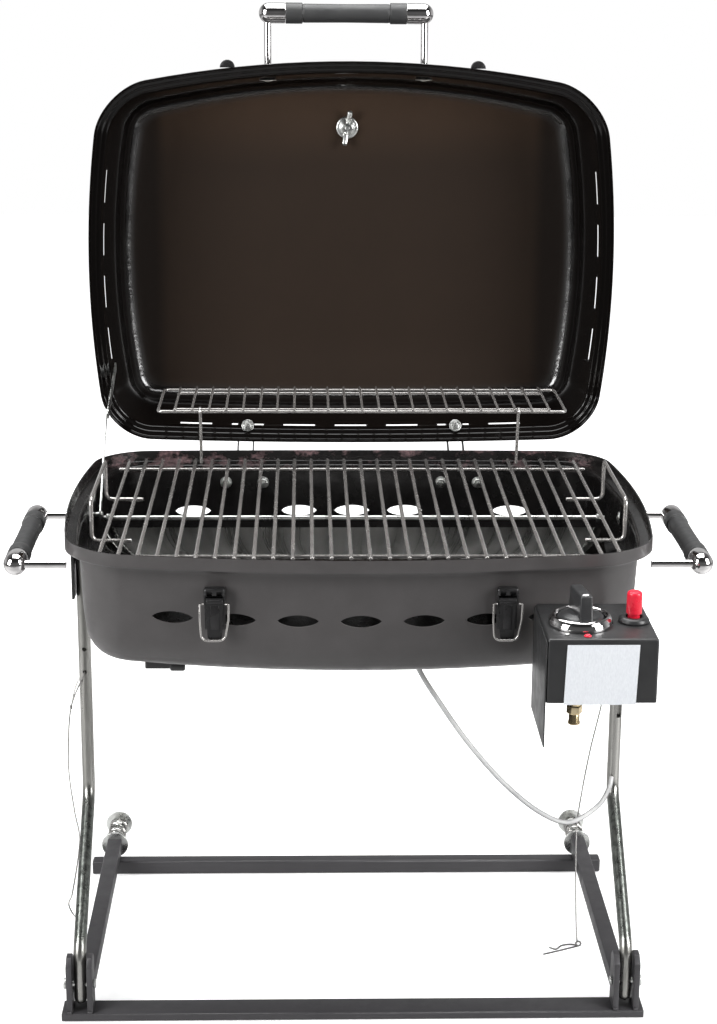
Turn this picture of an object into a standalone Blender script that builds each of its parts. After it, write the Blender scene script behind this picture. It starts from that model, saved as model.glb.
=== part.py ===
"""Folding camp grill: enamelled firebox and hinged lid on a folding tube stand.

Metres, +X to the right, +Y to the back, +Z up. The origin is the middle of the front
rail's underside. Rest pose: stand raised, lid open, latches hanging open.
"""

import math

import bmesh
import bpy
from mathutils import Euler, Matrix, Vector

GAP = 0.0003                # air between neighbouring pieces

# ---- base frame and legs
RAIL_HALF = 0.287           # half length of the front rail
RAIL_DEPTH = 0.029
RAIL_T = 0.008
BAR = 0.016                 # side of the square tubes
REAR_BAR_HALF = 0.289
REAR_BAR_Y = 0.3215
SIDE_BAR_X = 0.2655
SIDE_BAR_Y0 = 0.0152
SIDE_BAR_Y1 = 0.3400
SIDE_BAR_Z = 2 * BAR - BAR / 2 + GAP
LEG_X = 0.2690
LEG_R = 0.00635
CLEVIS_GAP = 0.0073         # half the space between two clevis plates
CLEVIS_T = 0.0055
CLEVIS_H = 0.056
CLEVIS_HALF_DEPTH = 0.0125
PIVOT_Z = 0.034             # leg pivot above the floor
PIN_R = 0.0030
KNEE = (0.128, 0.184)       # Y, Z of the leg's upper bend
ANKLE = (0.002, 0.068)      # Y, Z of the leg's lower bend
LEG_TOP = (0.128, 0.430)    # Y, Z of the pivot beside the firebox
DISC_R = 0.0150
SPRING_LEN = 0.0560
SPRING_R = 0.0092
SPRING_WIRE = 0.0013
SPRING_TURNS = 6

# ---- firebox outline, shared by the lid
HALF_W = 0.2502             # half width before the side bow
HALF_D = 0.1761             # half depth before the front and rear bows
CORNER = 0.045
BOW_FRONT = 0.0288
BOW_SIDE = 0.0155
BOW_REAR = 0.0048
BOX_Y = 0.02366             # centre of the outline
RIM_Z = 0.5242
BAND_H = 0.0118             # outward band of the rim
STEP_IN = 0.0095            # ledge inside the band
SHEET = 0.0016
FLOOR_Z = 0.4135
VENT_PITCH = 0.0538
VENT_HALF = 0.0171
VENT_H = 0.0052
VENT_Z = 0.4660

# ---- lid
HINGE_Y = 0.2252
HINGE_Z = 0.5016
LID_Z = 0.5256              # closed lid's opening plane
LID_GROW = 0.0010
LID_DEPTH = 0.1020
LID_SHEET = 0.0014
SLOT_LOW = 0.0175
SLOT_HIGH = 0.0245
SLOT_HALF = 0.0165
SLOT_Y0 = -0.0560            # middle of the foremost side slot, lid closed
HINGE_X = 0.1095
STRAP = 0.0170              # width over the two hinge straps
HINGE_PLATE = 0.0280        # half length of a lower hinge leaf
CATCH_X = 0.1246

# ---- grates
GRATE_Z = 0.5157
GRATE_WIRE = 0.0018
GRATE_PITCH = 0.45 / 27
GRATE_Y0 = -0.1470
GRATE_Y1 = 0.1975
RACK_Z = 0.5780
RACK_HALF = 0.2020
RACK_Y0 = 0.1550
RACK_Y1 = 0.2550
RACK_WIRE = 0.0015
RACK_BARS = 23
RACK_X = 0.0090             # the rack hangs a little right of the middle
RACK_LEG_X = {-1: -0.1513, 1: 0.1640}
RACK_LEG_WIRE = 0.0015
RACK_FOOT_Z = 0.5195

# ---- handles
HANDLE_LEN = 0.1744
HANDLE_R = 0.0104
POST_SPAN = 0.1570
POST_R = 0.0036
SIDE_HANDLE = (0.3000, -0.0355, 0.5010)
SIDE_STANDOFF = 0.0445
LID_HANDLE_X = -0.0064
LID_HANDLE_OUT = 0.0590     # handle axis ahead of the lid's front wall
LID_STANDOFF = 0.0560
LID_HANDLE_RISE = 0.0320    # handle axis above the closed lid's opening plane

# ---- controls
BOX_X = (0.1490, 0.2400)
BOX_DEPTH = (-0.2575, -0.1650)
BOX_LOW = 0.4260
BOX_TOP = 0.4810
BOX_SHEET = 0.0012
KNOB = (0.1805, -0.2170)
BUTTON = (0.2255, -0.2120)

# ---- thermometer, placed on the closed lid
DIAL = (-0.0035, -0.1088)
DIAL_WASHER = 0.0115
DIAL_WING = 0.0182
WING_TURN = 100             # degrees from +X

# ---- lid stay, as (Y, Z) in the rest pose
STAY_TOP = (0.2600, 0.5980)
STAY_MID = (0.1700, 0.5700)
STAY_FOOT = (0.0850, 0.4900)

PARTS = "folding_camp_grill"


def clear_scene():
    for obj in list(bpy.data.objects):
        bpy.data.objects.remove(obj, do_unlink=True)
    for name in (PARTS, "cutters"):
        coll = bpy.data.collections.new(name)
        bpy.context.scene.collection.children.link(coll)


def material(name, color, metallic, roughness):
    mat = bpy.data.materials.new(name)
    mat.use_nodes = True
    bsdf = mat.node_tree.nodes["Principled BSDF"]
    bsdf.inputs["Base Color"].default_value = (*color, 1.0)
    bsdf.inputs["Metallic"].default_value = metallic
    bsdf.inputs["Roughness"].default_value = roughness
    return mat


def look(obj, mat, smooth=True):
    """Give the piece its own copy of a finish, named after the piece."""
    own = MATERIALS[mat].copy()
    own.name = obj.name + "_finish"
    obj.data.materials.clear()
    obj.data.materials.append(own)
    if smooth:
        obj.data.shade_smooth()
        obj.data.set_sharp_from_angle(angle=math.radians(32))
    return obj


def add(name, mesh, collection=PARTS):
    obj = bpy.data.objects.new(name, mesh)
    bpy.data.collections[collection].objects.link(obj)
    return obj


def mesh_from_bmesh(name, bm):
    bmesh.ops.recalc_face_normals(bm, faces=bm.faces)
    mesh = bpy.data.meshes.new(name)
    bm.to_mesh(mesh)
    bm.free()
    return mesh


def box(name, low, high, bevel=0.0, collection=PARTS):
    low, high = Vector(low), Vector(high)
    bm = bmesh.new()
    size = high - low
    matrix = Matrix.Translation((low + high) / 2) @ Matrix.Diagonal((*size, 1.0))
    bmesh.ops.create_cube(bm, size=1.0, matrix=matrix)
    if bevel:
        bmesh.ops.bevel(bm, geom=bm.edges[:], offset=bevel, segments=1, affect="EDGES")
    return add(name, mesh_from_bmesh(name, bm), collection)


def rod(name, start, end, radius, sides=16, radius_end=None, collection=PARTS):
    """Straight round bar from start to end."""
    start, end = Vector(start), Vector(end)
    along = end - start
    bm = bmesh.new()
    turn = Vector((0, 0, 1)).rotation_difference(along).to_matrix().to_4x4()
    bmesh.ops.create_cone(
        bm, cap_ends=True, segments=sides, radius1=radius,
        radius2=radius if radius_end is None else radius_end, depth=along.length,
        matrix=Matrix.Translation((start + end) / 2) @ turn)
    return add(name, mesh_from_bmesh(name, bm), collection)


def baked(obj, name=None):
    """Replace an object by a plain mesh of what its modifiers or curve make."""
    bpy.context.view_layer.update()
    graph = bpy.context.evaluated_depsgraph_get()
    mesh = bpy.data.meshes.new_from_object(obj.evaluated_get(graph))
    bm = bmesh.new()
    bm.from_mesh(mesh)
    bmesh.ops.transform(bm, matrix=obj.matrix_world, verts=bm.verts)
    bmesh.ops.remove_doubles(bm, verts=bm.verts, dist=0.00002)
    bmesh.ops.recalc_face_normals(bm, faces=bm.faces)
    bm.to_mesh(mesh)
    bm.free()
    name = name or obj.name
    collection = obj.users_collection[0].name
    bpy.data.objects.remove(obj, do_unlink=True)
    return add(name, mesh, collection)


def rounded(points, radius, steps=4):
    """Open path with its inner corners turned into arcs."""
    path = [Vector(p) for p in points]
    out = [path[0]]
    for before, here, after in zip(path, path[1:], path[2:]):
        a = (before - here).normalized()
        b = (after - here).normalized()
        reach = radius / math.tan(a.angle(b) / 2)
        p0, p2 = here + a * reach, here + b * reach
        for k in range(steps + 1):
            t = k / steps
            out.append(p0 * (1 - t) ** 2 + here * 2 * t * (1 - t) + p2 * t * t)
    out.append(path[-1])
    return out


def wire(name, points, radius, resolution=1, cyclic=False, collection=PARTS):
    """Round wire or tube along a path."""
    curve = bpy.data.curves.new(name, "CURVE")
    curve.dimensions = "3D"
    curve.bevel_depth = radius
    curve.bevel_resolution = resolution
    curve.use_fill_caps = not cyclic
    spline = curve.splines.new("POLY")
    spline.points.add(len(points) - 1)
    spline.use_cyclic_u = cyclic
    for point, co in zip(spline.points, points):
        point.co = (*co, 1.0)
    obj = bpy.data.objects.new(name, curve)
    bpy.data.collections[collection].objects.link(obj)
    return baked(obj)


def flat(name, outline, thickness, place, collection=PARTS):
    """Flat plate: a 2D outline, extruded by half its thickness each way, then placed."""
    curve = bpy.data.curves.new(name, "CURVE")
    curve.dimensions = "2D"
    curve.fill_mode = "BOTH"
    curve.extrude = thickness / 2
    spline = curve.splines.new("POLY")
    spline.points.add(len(outline) - 1)
    spline.use_cyclic_u = True
    for point, (u, v) in zip(spline.points, outline):
        point.co = (u, v, 0.0, 1.0)
    obj = bpy.data.objects.new(name, curve)
    bpy.data.collections[collection].objects.link(obj)
    obj.matrix_world = place
    return baked(obj)


def turned(name, profile, place, steps=24, collection=PARTS):
    """Profile of (radius, height) from top to bottom, turned about its own Z, then placed."""
    bm = bmesh.new()
    verts = [bm.verts.new((r, 0.0, h)) for r, h in profile]
    for a, b in zip(verts, verts[1:]):
        bm.edges.new((a, b))
    mesh = bpy.data.meshes.new(name)
    bm.to_mesh(mesh)
    bm.free()
    obj = add(name, mesh, collection)
    screw = obj.modifiers.new("turn", "SCREW")
    screw.steps = steps
    screw.render_steps = steps
    screw.use_merge_vertices = True
    screw.merge_threshold = 0.00005
    obj.matrix_world = place
    return baked(obj)


def joined(first, others):
    """Boolean union of overlapping shapes into one body."""
    for other in others:
        cut(first, other, "UNION")
    return baked(first)


def cut(obj, tool, operation="DIFFERENCE"):
    for coll in list(tool.users_collection):
        coll.objects.unlink(tool)
    bpy.data.collections["cutters"].objects.link(tool)
    tool.hide_render = True
    tool.display_type = "WIRE"
    mod = obj.modifiers.new(operation.lower(), "BOOLEAN")
    mod.operation = operation
    mod.solver = "EXACT"
    mod.object = tool
    return obj


def group(name, objs, collection="cutters"):
    """Several separate solids as one object, for use as one Boolean tool."""
    bm = bmesh.new()
    for obj in objs:
        bm.from_mesh(obj.data)
        bpy.data.objects.remove(obj, do_unlink=True)
    return add(name, mesh_from_bmesh(name, bm), collection)


def frame(origin, x_axis, y_axis):
    """World placement of a local frame."""
    x_axis, y_axis = Vector(x_axis), Vector(y_axis)
    z_axis = x_axis.cross(y_axis)
    turn = Matrix((x_axis, y_axis, z_axis)).transposed().to_4x4()
    return Matrix.Translation(origin) @ turn


def set_origin(obj, point):
    """Put a piece's own origin on its joint axis without moving the piece."""
    point = Vector(point)
    obj.data.transform(Matrix.Translation(-point))
    obj.location = point
    return obj


# ---------------------------------------------------------------- base and stand

def side_name(side):
    return "left" if side < 0 else "right"


def make_base():
    half = RAIL_DEPTH / 2
    rail = box("front_rail", (-RAIL_HALF, -half, 0), (RAIL_HALF, half, RAIL_T), 0.0008)
    look(rail, "frame_paint")
    bar = box("rear_bar", (-REAR_BAR_HALF, REAR_BAR_Y - BAR / 2, 0),
              (REAR_BAR_HALF, REAR_BAR_Y + BAR / 2, BAR), 0.0015)
    look(bar, "frame_paint")
    for side in (-1, 1):
        make_side_bar(side)
        make_clevis(side)
        make_plunger(side)
        make_leg(side)


def make_side_bar(side):
    x, z = side * SIDE_BAR_X, SIDE_BAR_Z
    name = side_name(side) + "_side_bar"
    bar = box(name, (x - BAR / 2, SIDE_BAR_Y0, z - BAR / 2), (x + BAR / 2, SIDE_BAR_Y1, z + BAR / 2), 0.0015)
    disc = rod(name + "_disc", (x, SIDE_BAR_Y1 - 0.0006, z), (x, SIDE_BAR_Y1 + 0.0024, z), DISC_R, 24)
    bore = rod(name + "_bore", (x, SIDE_BAR_Y1 - 0.030, z), (x, SIDE_BAR_Y1 + 0.010, z), 0.0044, 16)
    cut(bar, disc, "UNION")
    cut(bar, bore)
    look(baked(bar), "frame_paint")


def make_clevis(side):
    """Two chamfered plates on the rail, and the pin the leg turns on."""
    top = RAIL_T + GAP + CLEVIS_H
    d, c = CLEVIS_HALF_DEPTH, 0.007
    outline = [(-d, RAIL_T + GAP), (d, RAIL_T + GAP), (d, top - c), (d - c, top), (c - d, top), (-d, top - c)]
    for label, offset in (("inner", -1), ("outer", 1)):
        x = side * (LEG_X + offset * (CLEVIS_GAP + CLEVIS_T / 2))
        name = side_name(side) + "_clevis_" + label
        plate = flat(name, outline, CLEVIS_T, frame((x, 0, 0), (0, 1, 0), (0, 0, 1)))
        hole = rod(name + "_hole", (x - 0.01, 0, PIVOT_Z), (x + 0.01, 0, PIVOT_Z), PIN_R + GAP, 16)
        look(baked(cut(plate, hole)), "frame_paint")
    reach = CLEVIS_GAP + CLEVIS_T + 0.0005
    shank = rod(side_name(side) + "_leg_pin", (side * (LEG_X - reach - 0.002), 0, PIVOT_Z),
                (side * (LEG_X + reach), 0, PIVOT_Z), PIN_R, 16)
    head = rod("pin_head", (side * (LEG_X + reach - 0.0001), 0, PIVOT_Z),
               (side * (LEG_X + reach + 0.003), 0, PIVOT_Z), 0.0052, 16)
    tail = rod("pin_tail", (side * (LEG_X - reach - 0.0018), 0, PIVOT_Z),
               (side * (LEG_X - reach + 0.0001), 0, PIVOT_Z), 0.0044, 16)
    look(joined(shank, [head, tail]), "zinc")


def make_plunger(side):
    """Sprung bolt at the back end of a side bar."""
    x, z = side * SIDE_BAR_X, SIDE_BAR_Z
    face = SIDE_BAR_Y1 + 0.0024
    place = frame((x, face, z), (1, 0, 0), (0, 0, -1))
    end = SPRING_LEN
    profile = [(0, end + 0.0050), (0.0060, end + 0.0050), (DISC_R - 0.0020, end + 0.0034),
               (DISC_R, end + 0.0024), (DISC_R, end), (0.0040, end), (0.0040, -0.0160), (0, -0.0160)]
    bolt = turned(side_name(side) + "_plunger", profile, place)
    look(set_origin(bolt, (x, face, z)), "zinc")
    low = SPRING_WIRE + GAP
    high = SPRING_LEN - SPRING_WIRE - GAP
    steps = SPRING_TURNS * 12
    coil = []
    for k in range(steps + 1):
        t = k / steps
        turn = 2 * math.pi * SPRING_TURNS * t
        y = face + low + (high - low) * t
        coil.append((x + SPRING_R * math.cos(turn), y, z + SPRING_R * math.sin(turn)))
    look(wire(side_name(side) + "_plunger_spring", coil, SPRING_WIRE), "zinc")


def make_leg(side):
    x = side * LEG_X
    path = [(x, 0, 0.0135), (x, 0, PIVOT_Z), (x, *ANKLE), (x, *KNEE), (x, LEG_TOP[0], LEG_TOP[1]),
            (x, LEG_TOP[0], LEG_TOP[1] + 0.009)]
    path = [path[0]] + rounded([path[1], path[2], path[3], path[4]], 0.030, 5) + [path[5]]
    leg = wire(side_name(side) + "_leg", path, LEG_R, 4)
    holes = []
    for y, z in ((0, PIVOT_Z), LEG_TOP):
        holes.append(rod("hole", (x - 0.02, y, z), (x + 0.02, y, z), PIN_R + GAP, 16))
    cut(leg, group("leg_holes_" + side_name(side), holes))
    leg = look(baked(leg), "zinc")
    set_origin(leg, (0, 0, PIVOT_Z))
    make_leg_bracket(side)


def make_leg_bracket(side):
    """Inverted U on the firebox side that straddles the leg's top, with its rivet."""
    x, (y, z) = side * LEG_X, LEG_TOP
    inner, outer = 0.0070, 0.0096
    half = 0.0135
    name = side_name(side) + "_leg_bracket"
    plates = [box("plate", (x + lo, y - half, z - 0.036), (x + hi, y + half, z + 0.0205))
              for lo, hi in ((-outer, -inner), (inner, outer))]
    web = box(name, (x - outer + 0.0002, y - half + 0.0002, z + 0.0180),
              (x + outer - 0.0002, y + half, z + 0.0220))
    near, far = sorted((side * 0.2471, side * (LEG_X - outer + 0.0010)))
    foot = box("foot", (near, y - half + 0.0010, z + 0.0020), (far, y + half - 0.0010, z + 0.0190))
    rivet = rod("rivet", (x - inner - 0.001, y, z), (x + inner + 0.001, y, z), PIN_R, 16)
    look(joined(web, plates + [foot, rivet]), "black_paint", smooth=False)


# ---------------------------------------------------------------- sheet shells

def outline(inset, z, grow=0.0, count=6):
    """One ring of the firebox or lid outline, drawn in by inset."""
    a, b = HALF_W + grow - inset, HALF_D + grow - inset
    r = max(CORNER - inset, 0.012)
    ring = []
    corners = ((a - r, b - r, 0), (r - a, b - r, 90), (r - a, r - b, 180), (a - r, r - b, 270))
    for i, (cx, cy, start) in enumerate(corners):
        for k in range(count + 1):
            t = math.radians(start + 90 * k / count)
            ring.append((cx + r * math.cos(t), cy + r * math.sin(t)))
        nx, ny, turn = corners[(i + 1) % 4]
        t = math.radians(turn)
        last, following = ring[-1], (nx + r * math.cos(t), ny + r * math.sin(t))
        for k in range(1, count):
            f = k / count
            ring.append((last[0] + (following[0] - last[0]) * f, last[1] + (following[1] - last[1]) * f))
    points = []
    for x, y in ring:
        bow = BOW_FRONT if y < 0 else BOW_REAR
        bowed_y = y + math.copysign(bow * (1 - (x / a) ** 2) * abs(y / b), y)
        bowed_x = x + math.copysign(BOW_SIDE * (1 - (y / b) ** 2) * abs(x / a), x)
        points.append((bowed_x, BOX_Y + bowed_y, z))
    return points


def lofted(name, outer, inner):
    """Thin pan: outer rings from rim to floor, and inner rings from rim to floor."""
    bm = bmesh.new()
    rows = [[bm.verts.new(p) for p in ring] for ring in outer[::-1] + inner]
    for low, high in zip(rows, rows[1:]):
        for i in range(len(low)):
            j = (i + 1) % len(low)
            bm.faces.new((low[i], low[j], high[j], high[i]))
    bm.faces.new(rows[0][::-1])
    bm.faces.new(rows[-1])
    return add(name, mesh_from_bmesh(name, bm))


def lens(x, y0, y1, z, half_w, half_h):
    """Pointed oval prism along Y, used to punch a vent."""
    pts = [(half_w * (1 - 2 * k / 6), half_h * math.sin(math.pi * k / 6)) for k in range(7)]
    pts += [(-u, -v) for u, v in pts[1:-1]]
    place = frame((x, (y0 + y1) / 2, z), (1, 0, 0), (0, 0, 1))
    return flat("lens", pts, y1 - y0, place, "cutters")


def make_firebox():
    z, s = RIM_Z, SHEET
    outer = [(0, z), (0, z - BAND_H), (STEP_IN, z - BAND_H - 0.0018), (STEP_IN + 0.0020, z - 0.0170),
             (0.0140, 0.4500), (0.0165, 0.4330), (0.0240, 0.4205), (0.0370, FLOOR_Z)]
    inner = [(s, z), (s, z - BAND_H + 0.0014), (STEP_IN + s, z - BAND_H - 0.0002),
             (STEP_IN + 0.0020 + s, z - 0.0165), (0.0140 + s, 0.4500), (0.0181, 0.4338),
             (0.0252, 0.4222), (0.0376, FLOOR_Z + s)]
    pan = lofted("firebox", [outline(i, h) for i, h in outer], [outline(i, h) for i, h in inner])
    front, rear = BOX_Y - HALF_D - BOW_FRONT, BOX_Y + HALF_D + BOW_REAR
    vents = [lens(k * VENT_PITCH, front - 0.01, front + 0.06, VENT_Z, VENT_HALF, VENT_H)
             for k in range(-3, 4)]
    vents += [lens(k * VENT_PITCH, rear - 0.04, rear + 0.01, VENT_Z - 0.003, VENT_HALF, VENT_H)
              for k in (-3, -1, 0, 1, 3)]
    cut(pan, group("vent_cutter", vents))
    look(baked(pan), "enamel")


def make_lid():
    """Lid shell, drawn closed about the hinge axis; the lid empty swings it open."""
    z, g, s, d = LID_Z, LID_GROW, LID_SHEET, LID_DEPTH
    outer = [(0, z), (0, z + 0.0090), (STEP_IN, z + 0.0118), (STEP_IN + 0.0020, z + 0.0150),
             (0.0205, z + 0.0640), (0.0265, z + 0.0830), (0.0390, z + 0.0965), (0.0600, z + d)]
    inner = [(s, z), (s, z + 0.0080), (STEP_IN + s, z + 0.0104), (STEP_IN + 0.0020 + s, z + 0.0148),
             (0.0205 + s, z + 0.0636), (0.0276, z + 0.0820), (0.0396, z + 0.0952), (0.0603, z + d - s)]
    shell = lofted("lid_shell", [outline(i, h, g) for i, h in outer], [outline(i, h, g) for i, h in inner])
    slots = []
    for x in (-0.24, 0.24):
        for k in range(4):
            y = SLOT_Y0 + k * VENT_PITCH
            slots.append(box("slot", (x - 0.04, y - SLOT_HALF, z + SLOT_LOW),
                             (x + 0.04, y + SLOT_HALF, z + SLOT_HIGH)))
    for k in range(-3, 4):
        x = k * VENT_PITCH
        slots.append(box("slot", (x - SLOT_HALF, 0.16, z + SLOT_LOW), (x + SLOT_HALF, 0.23, z + SLOT_HIGH)))
    cut(shell, group("slot_cutter", slots))
    return [look(baked(shell), "enamel")]


# ---------------------------------------------------------------- handles

def make_handle(name, centre, along, outward, standoff):
    """Chrome rod with capped ends on two posts, and the black sleeve between its caps."""
    centre, along, outward = Vector(centre), Vector(along), Vector(outward)
    place = frame(centre, outward, along.cross(outward))
    half, r = HANDLE_LEN / 2, HANDLE_R
    cap = half - 0.0265
    core = 0.0060
    angles = [math.radians(a) for a in (0, 20, 40, 60, 80)]
    dome = [(r * math.sin(a), half - r + r * math.cos(a)) for a in angles]
    profile = dome + [(r, half - r - 0.001), (r, cap), (core, cap)]
    profile += [(core, -cap), (r, -cap), (r, r + 0.001 - half)]
    profile += [(x, -h) for x, h in dome[::-1]]
    bar = turned(name + "_frame", profile, place, 20)
    posts = []
    for s in (-1, 1):
        foot = centre + along * (s * POST_SPAN / 2) - outward * standoff
        posts.append(rod("post", foot, centre + along * (s * POST_SPAN / 2) - outward * 0.004, POST_R, 12))
    bar = look(joined(bar, posts), "chrome")
    end = cap - GAP
    sleeve = [(core + GAP, end), (r, end), (r, end - 0.010), (r - 0.0006, end - 0.0105)]
    sleeve += [(r - 0.0006, 0.0105 - end), (r, 0.010 - end), (r, -end), (core + GAP, -end), (core + GAP, end)]
    grip = look(turned(name + "_grip", sleeve, place, 20), "black_plastic")
    return [bar, grip]


def make_side_handles():
    x, y, z = SIDE_HANDLE
    for side in (-1, 1):
        make_handle(side_name(side) + "_handle", (side * x, y, z), (0, 1, 0), (side, 0, 0), SIDE_STANDOFF)


# ---------------------------------------------------------------- grates, burner

def make_cooking_grate():
    bars = []
    for k in range(28):
        x = (k - 13.5) * GRATE_PITCH
        rear = GRATE_Y1 - (0.0060 if k in (0, 27) else 0.0)
        bars.append(rod("bar", (x, GRATE_Y0, GRATE_Z), (x, rear, GRATE_Z), GRATE_WIRE, 6))
    low = GRATE_Z - 2 * GRATE_WIRE + 0.0005
    grate = group("cooking_grate", bars, PARTS)
    rods = [rod("rod", (-half, y, low), (half, y, low), GRATE_WIRE, 6)
            for half, y in ((0.226, -0.130), (0.234, 0.170))]
    loops = []
    for side in (-1, 1):
        x, foot, top = side * 0.2360, side * 0.2010, 0.5506
        path = [(foot, -0.0810, low), (x, -0.0810, low), (x, -0.0810, top), (x, 0.0570, top),
                (x, 0.0570, low), (foot, 0.0570, low)]
        loops.append(wire("loop", rounded(path, 0.006, 3), GRATE_WIRE, 1))
    tool = group("grate_rods", rods + loops)
    look(joined(grate, [tool]), "chrome")


def make_warming_rack():
    """Rack of thin bars on two long wires front and back."""
    left, right = RACK_X - RACK_HALF, RACK_X + RACK_HALF
    gap = 2 * RACK_HALF / (RACK_BARS + 1)
    bars = []
    for k in range(RACK_BARS):
        x = left + (k + 1) * gap
        ends = (x, RACK_Y0 - 0.002, RACK_Z), (x, RACK_Y1 + 0.002, RACK_Z)
        bars.append(rod("bar", *ends, RACK_WIRE * 0.9, 6))
    low = RACK_Z - 2 * RACK_WIRE + 0.0006
    rack = group("warming_rack", bars, PARTS)
    corners = [(left, RACK_Y0, low), (right, RACK_Y0, low), (right, RACK_Y1, low), (left, RACK_Y1, low)]
    loop = wire("frame", corners, RACK_WIRE, 1, cyclic=True)
    inner = [rod("wire", (left + 0.016, y, low), (right - 0.016, y, low), RACK_WIRE, 6)
             for y in (RACK_Y0 + 0.009, RACK_Y1 - 0.016)]
    rack = look(joined(rack, [group("rack_frame", [loop] + inner)]), "chrome")
    return set_origin(rack, (0, RACK_Y1, RACK_Z))


def make_rack_legs():
    """Single wires hooked over the rack's front wire, so that they can swing."""
    y, z = RACK_Y0, RACK_Z - 2 * RACK_WIRE + 0.0006
    hook = RACK_WIRE + GAP + RACK_LEG_WIRE
    angles = [math.radians(a) for a in range(-30, 181, 30)]
    arc = [(y - hook * math.cos(a), z + hook * math.sin(a)) for a in angles]
    for side in (-1, 1):
        x = RACK_LEG_X[side]
        path = [(x, *p) for p in arc] + [(x, y + 0.0120, RACK_FOOT_Z)]
        leg = wire(side_name(side) + "_rack_leg", path, RACK_LEG_WIRE, 2)
        set_origin(look(leg, "chrome"), (0, y, z))


def make_burner():
    """Pressed tube burner with its mixing tube running out through a vent to the valve."""
    y, z = 0.006, 0.4485
    bar = rod("burner", (-0.170, y, z), (0.170, y, z), 0.0110, 16)
    x = 3 * VENT_PITCH
    mixing = rod("mixing", (x, -0.158, VENT_Z - 0.0002), (x, y - 0.003, z + 0.002), 0.0042, 12)
    stands = [box("stand", (x - 0.006, y - 0.002, FLOOR_Z + SHEET + GAP), (x + 0.006, y + 0.002, z - 0.006))
              for x in (-0.130, 0.130)]
    look(joined(bar, [mixing] + stands), "steel")


def make_heat_diffuser():
    """Folded stainless plate over the burner, standing on two legs of its own sheet."""
    profile = [(-0.0900, 0.4680), (-0.0700, 0.4870), (0.0060, 0.4700), (0.0560, 0.4850), (0.0600, 0.4700)]
    t = 0.0012
    pts = profile + [(y, z - t) for y, z in profile[::-1]]
    place = frame((0, 0, 0), (0, 1, 0), (0, 0, 1))
    look(flat("heat_diffuser", pts, 0.470, place), "steel", smooth=False)
    z = 0.4900
    rod_shape = rod("support_rod", (-0.2410, 0.0725, z), (0.2410, 0.0725, z), 0.0022, 12)
    nuts = [rod("nut", (s * 0.2330, 0.0725, z), (s * 0.2380, 0.0725, z), 0.0042, 6) for s in (-1, 1)]
    look(joined(rod_shape, nuts), "zinc")


# ---------------------------------------------------------------- controls

def make_control_box():
    (x0, x1), (y0, y1), t = BOX_X, BOX_DEPTH, BOX_SHEET
    cover = box("control_box", (x0, y0, BOX_LOW), (x1, y1, BOX_TOP), 0.0012)
    tools = [box("box_hollow", (x0 + t, y0 + t, BOX_LOW - 0.01), (x1 - t, y1 + 0.01, BOX_TOP - t))]
    for name, (x, y) in (("knob_hole", KNOB), ("button_hole", BUTTON)):
        tools.append(rod(name, (x, y, BOX_TOP - 0.01), (x, y, BOX_TOP + 0.01), 0.0060, 16))
    for tool in tools:
        cut(cover, tool)
    look(baked(cover), "black_paint", smooth=False)
    shield = box("wind_shield", (x0 - GAP - t, y0, 0.3870), (x0 - GAP, y1, 0.4790), 0.0002)
    look(shield, "black_paint", smooth=False)


def make_controls():
    up = Matrix.Translation((KNOB[0], KNOB[1], BOX_TOP + GAP))
    bezel = [(0.0205, 0.0062), (0.0228, 0.0080), (0.0256, 0.0062), (0.0270, 0.0024), (0.0270, 0.0),
             (0.0080, 0.0), (0.0080, 0.0012), (0.0205, 0.0012), (0.0205, 0.0062)]
    look(turned("knob_bezel", bezel, up, 32), "chrome")
    skirt = [(0, 0.0105), (0.0130, 0.0098), (0.0190, 0.0066), (0.0198, 0.0050), (0.0198, 0.0016), (0, 0.0016)]
    knob = turned("control_knob", skirt, up, 28)
    lean = up @ Euler((0, 0, math.radians(8))).to_matrix().to_4x4()
    grip = box("grip", (-0.0060, -0.0185, 0.0040), (0.0060, 0.0185, 0.0285), 0.0012)
    grip.data.transform(lean)
    stem = rod("stem", (KNOB[0], KNOB[1], BOX_TOP - 0.012), (KNOB[0], KNOB[1], BOX_TOP + 0.004), 0.0040, 12)
    set_origin(look(joined(knob, [grip, stem]), "black_plastic"), (*KNOB, BOX_TOP))
    at = Matrix.Translation((BUTTON[0], BUTTON[1], BOX_TOP + GAP))
    ring = [(0.0072, 0.0046), (0.0108, 0.0044), (0.0130, 0.0024), (0.0130, 0.0),
            (0.0072, 0.0), (0.0072, 0.0046)]
    look(turned("igniter_collar", ring, at, 24), "black_plastic")
    cap = [(0, 0.0262), (0.0048, 0.0260), (0.0060, 0.0248), (0.0066, 0.0075), (0.0066, 0.0070),
           (0.0050, 0.0070), (0.0050, -0.0060), (0, -0.0060)]
    set_origin(look(turned("igniter_button", cap, at, 20), "red_plastic"), (*BUTTON, BOX_TOP))
    make_gas_parts()


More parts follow.
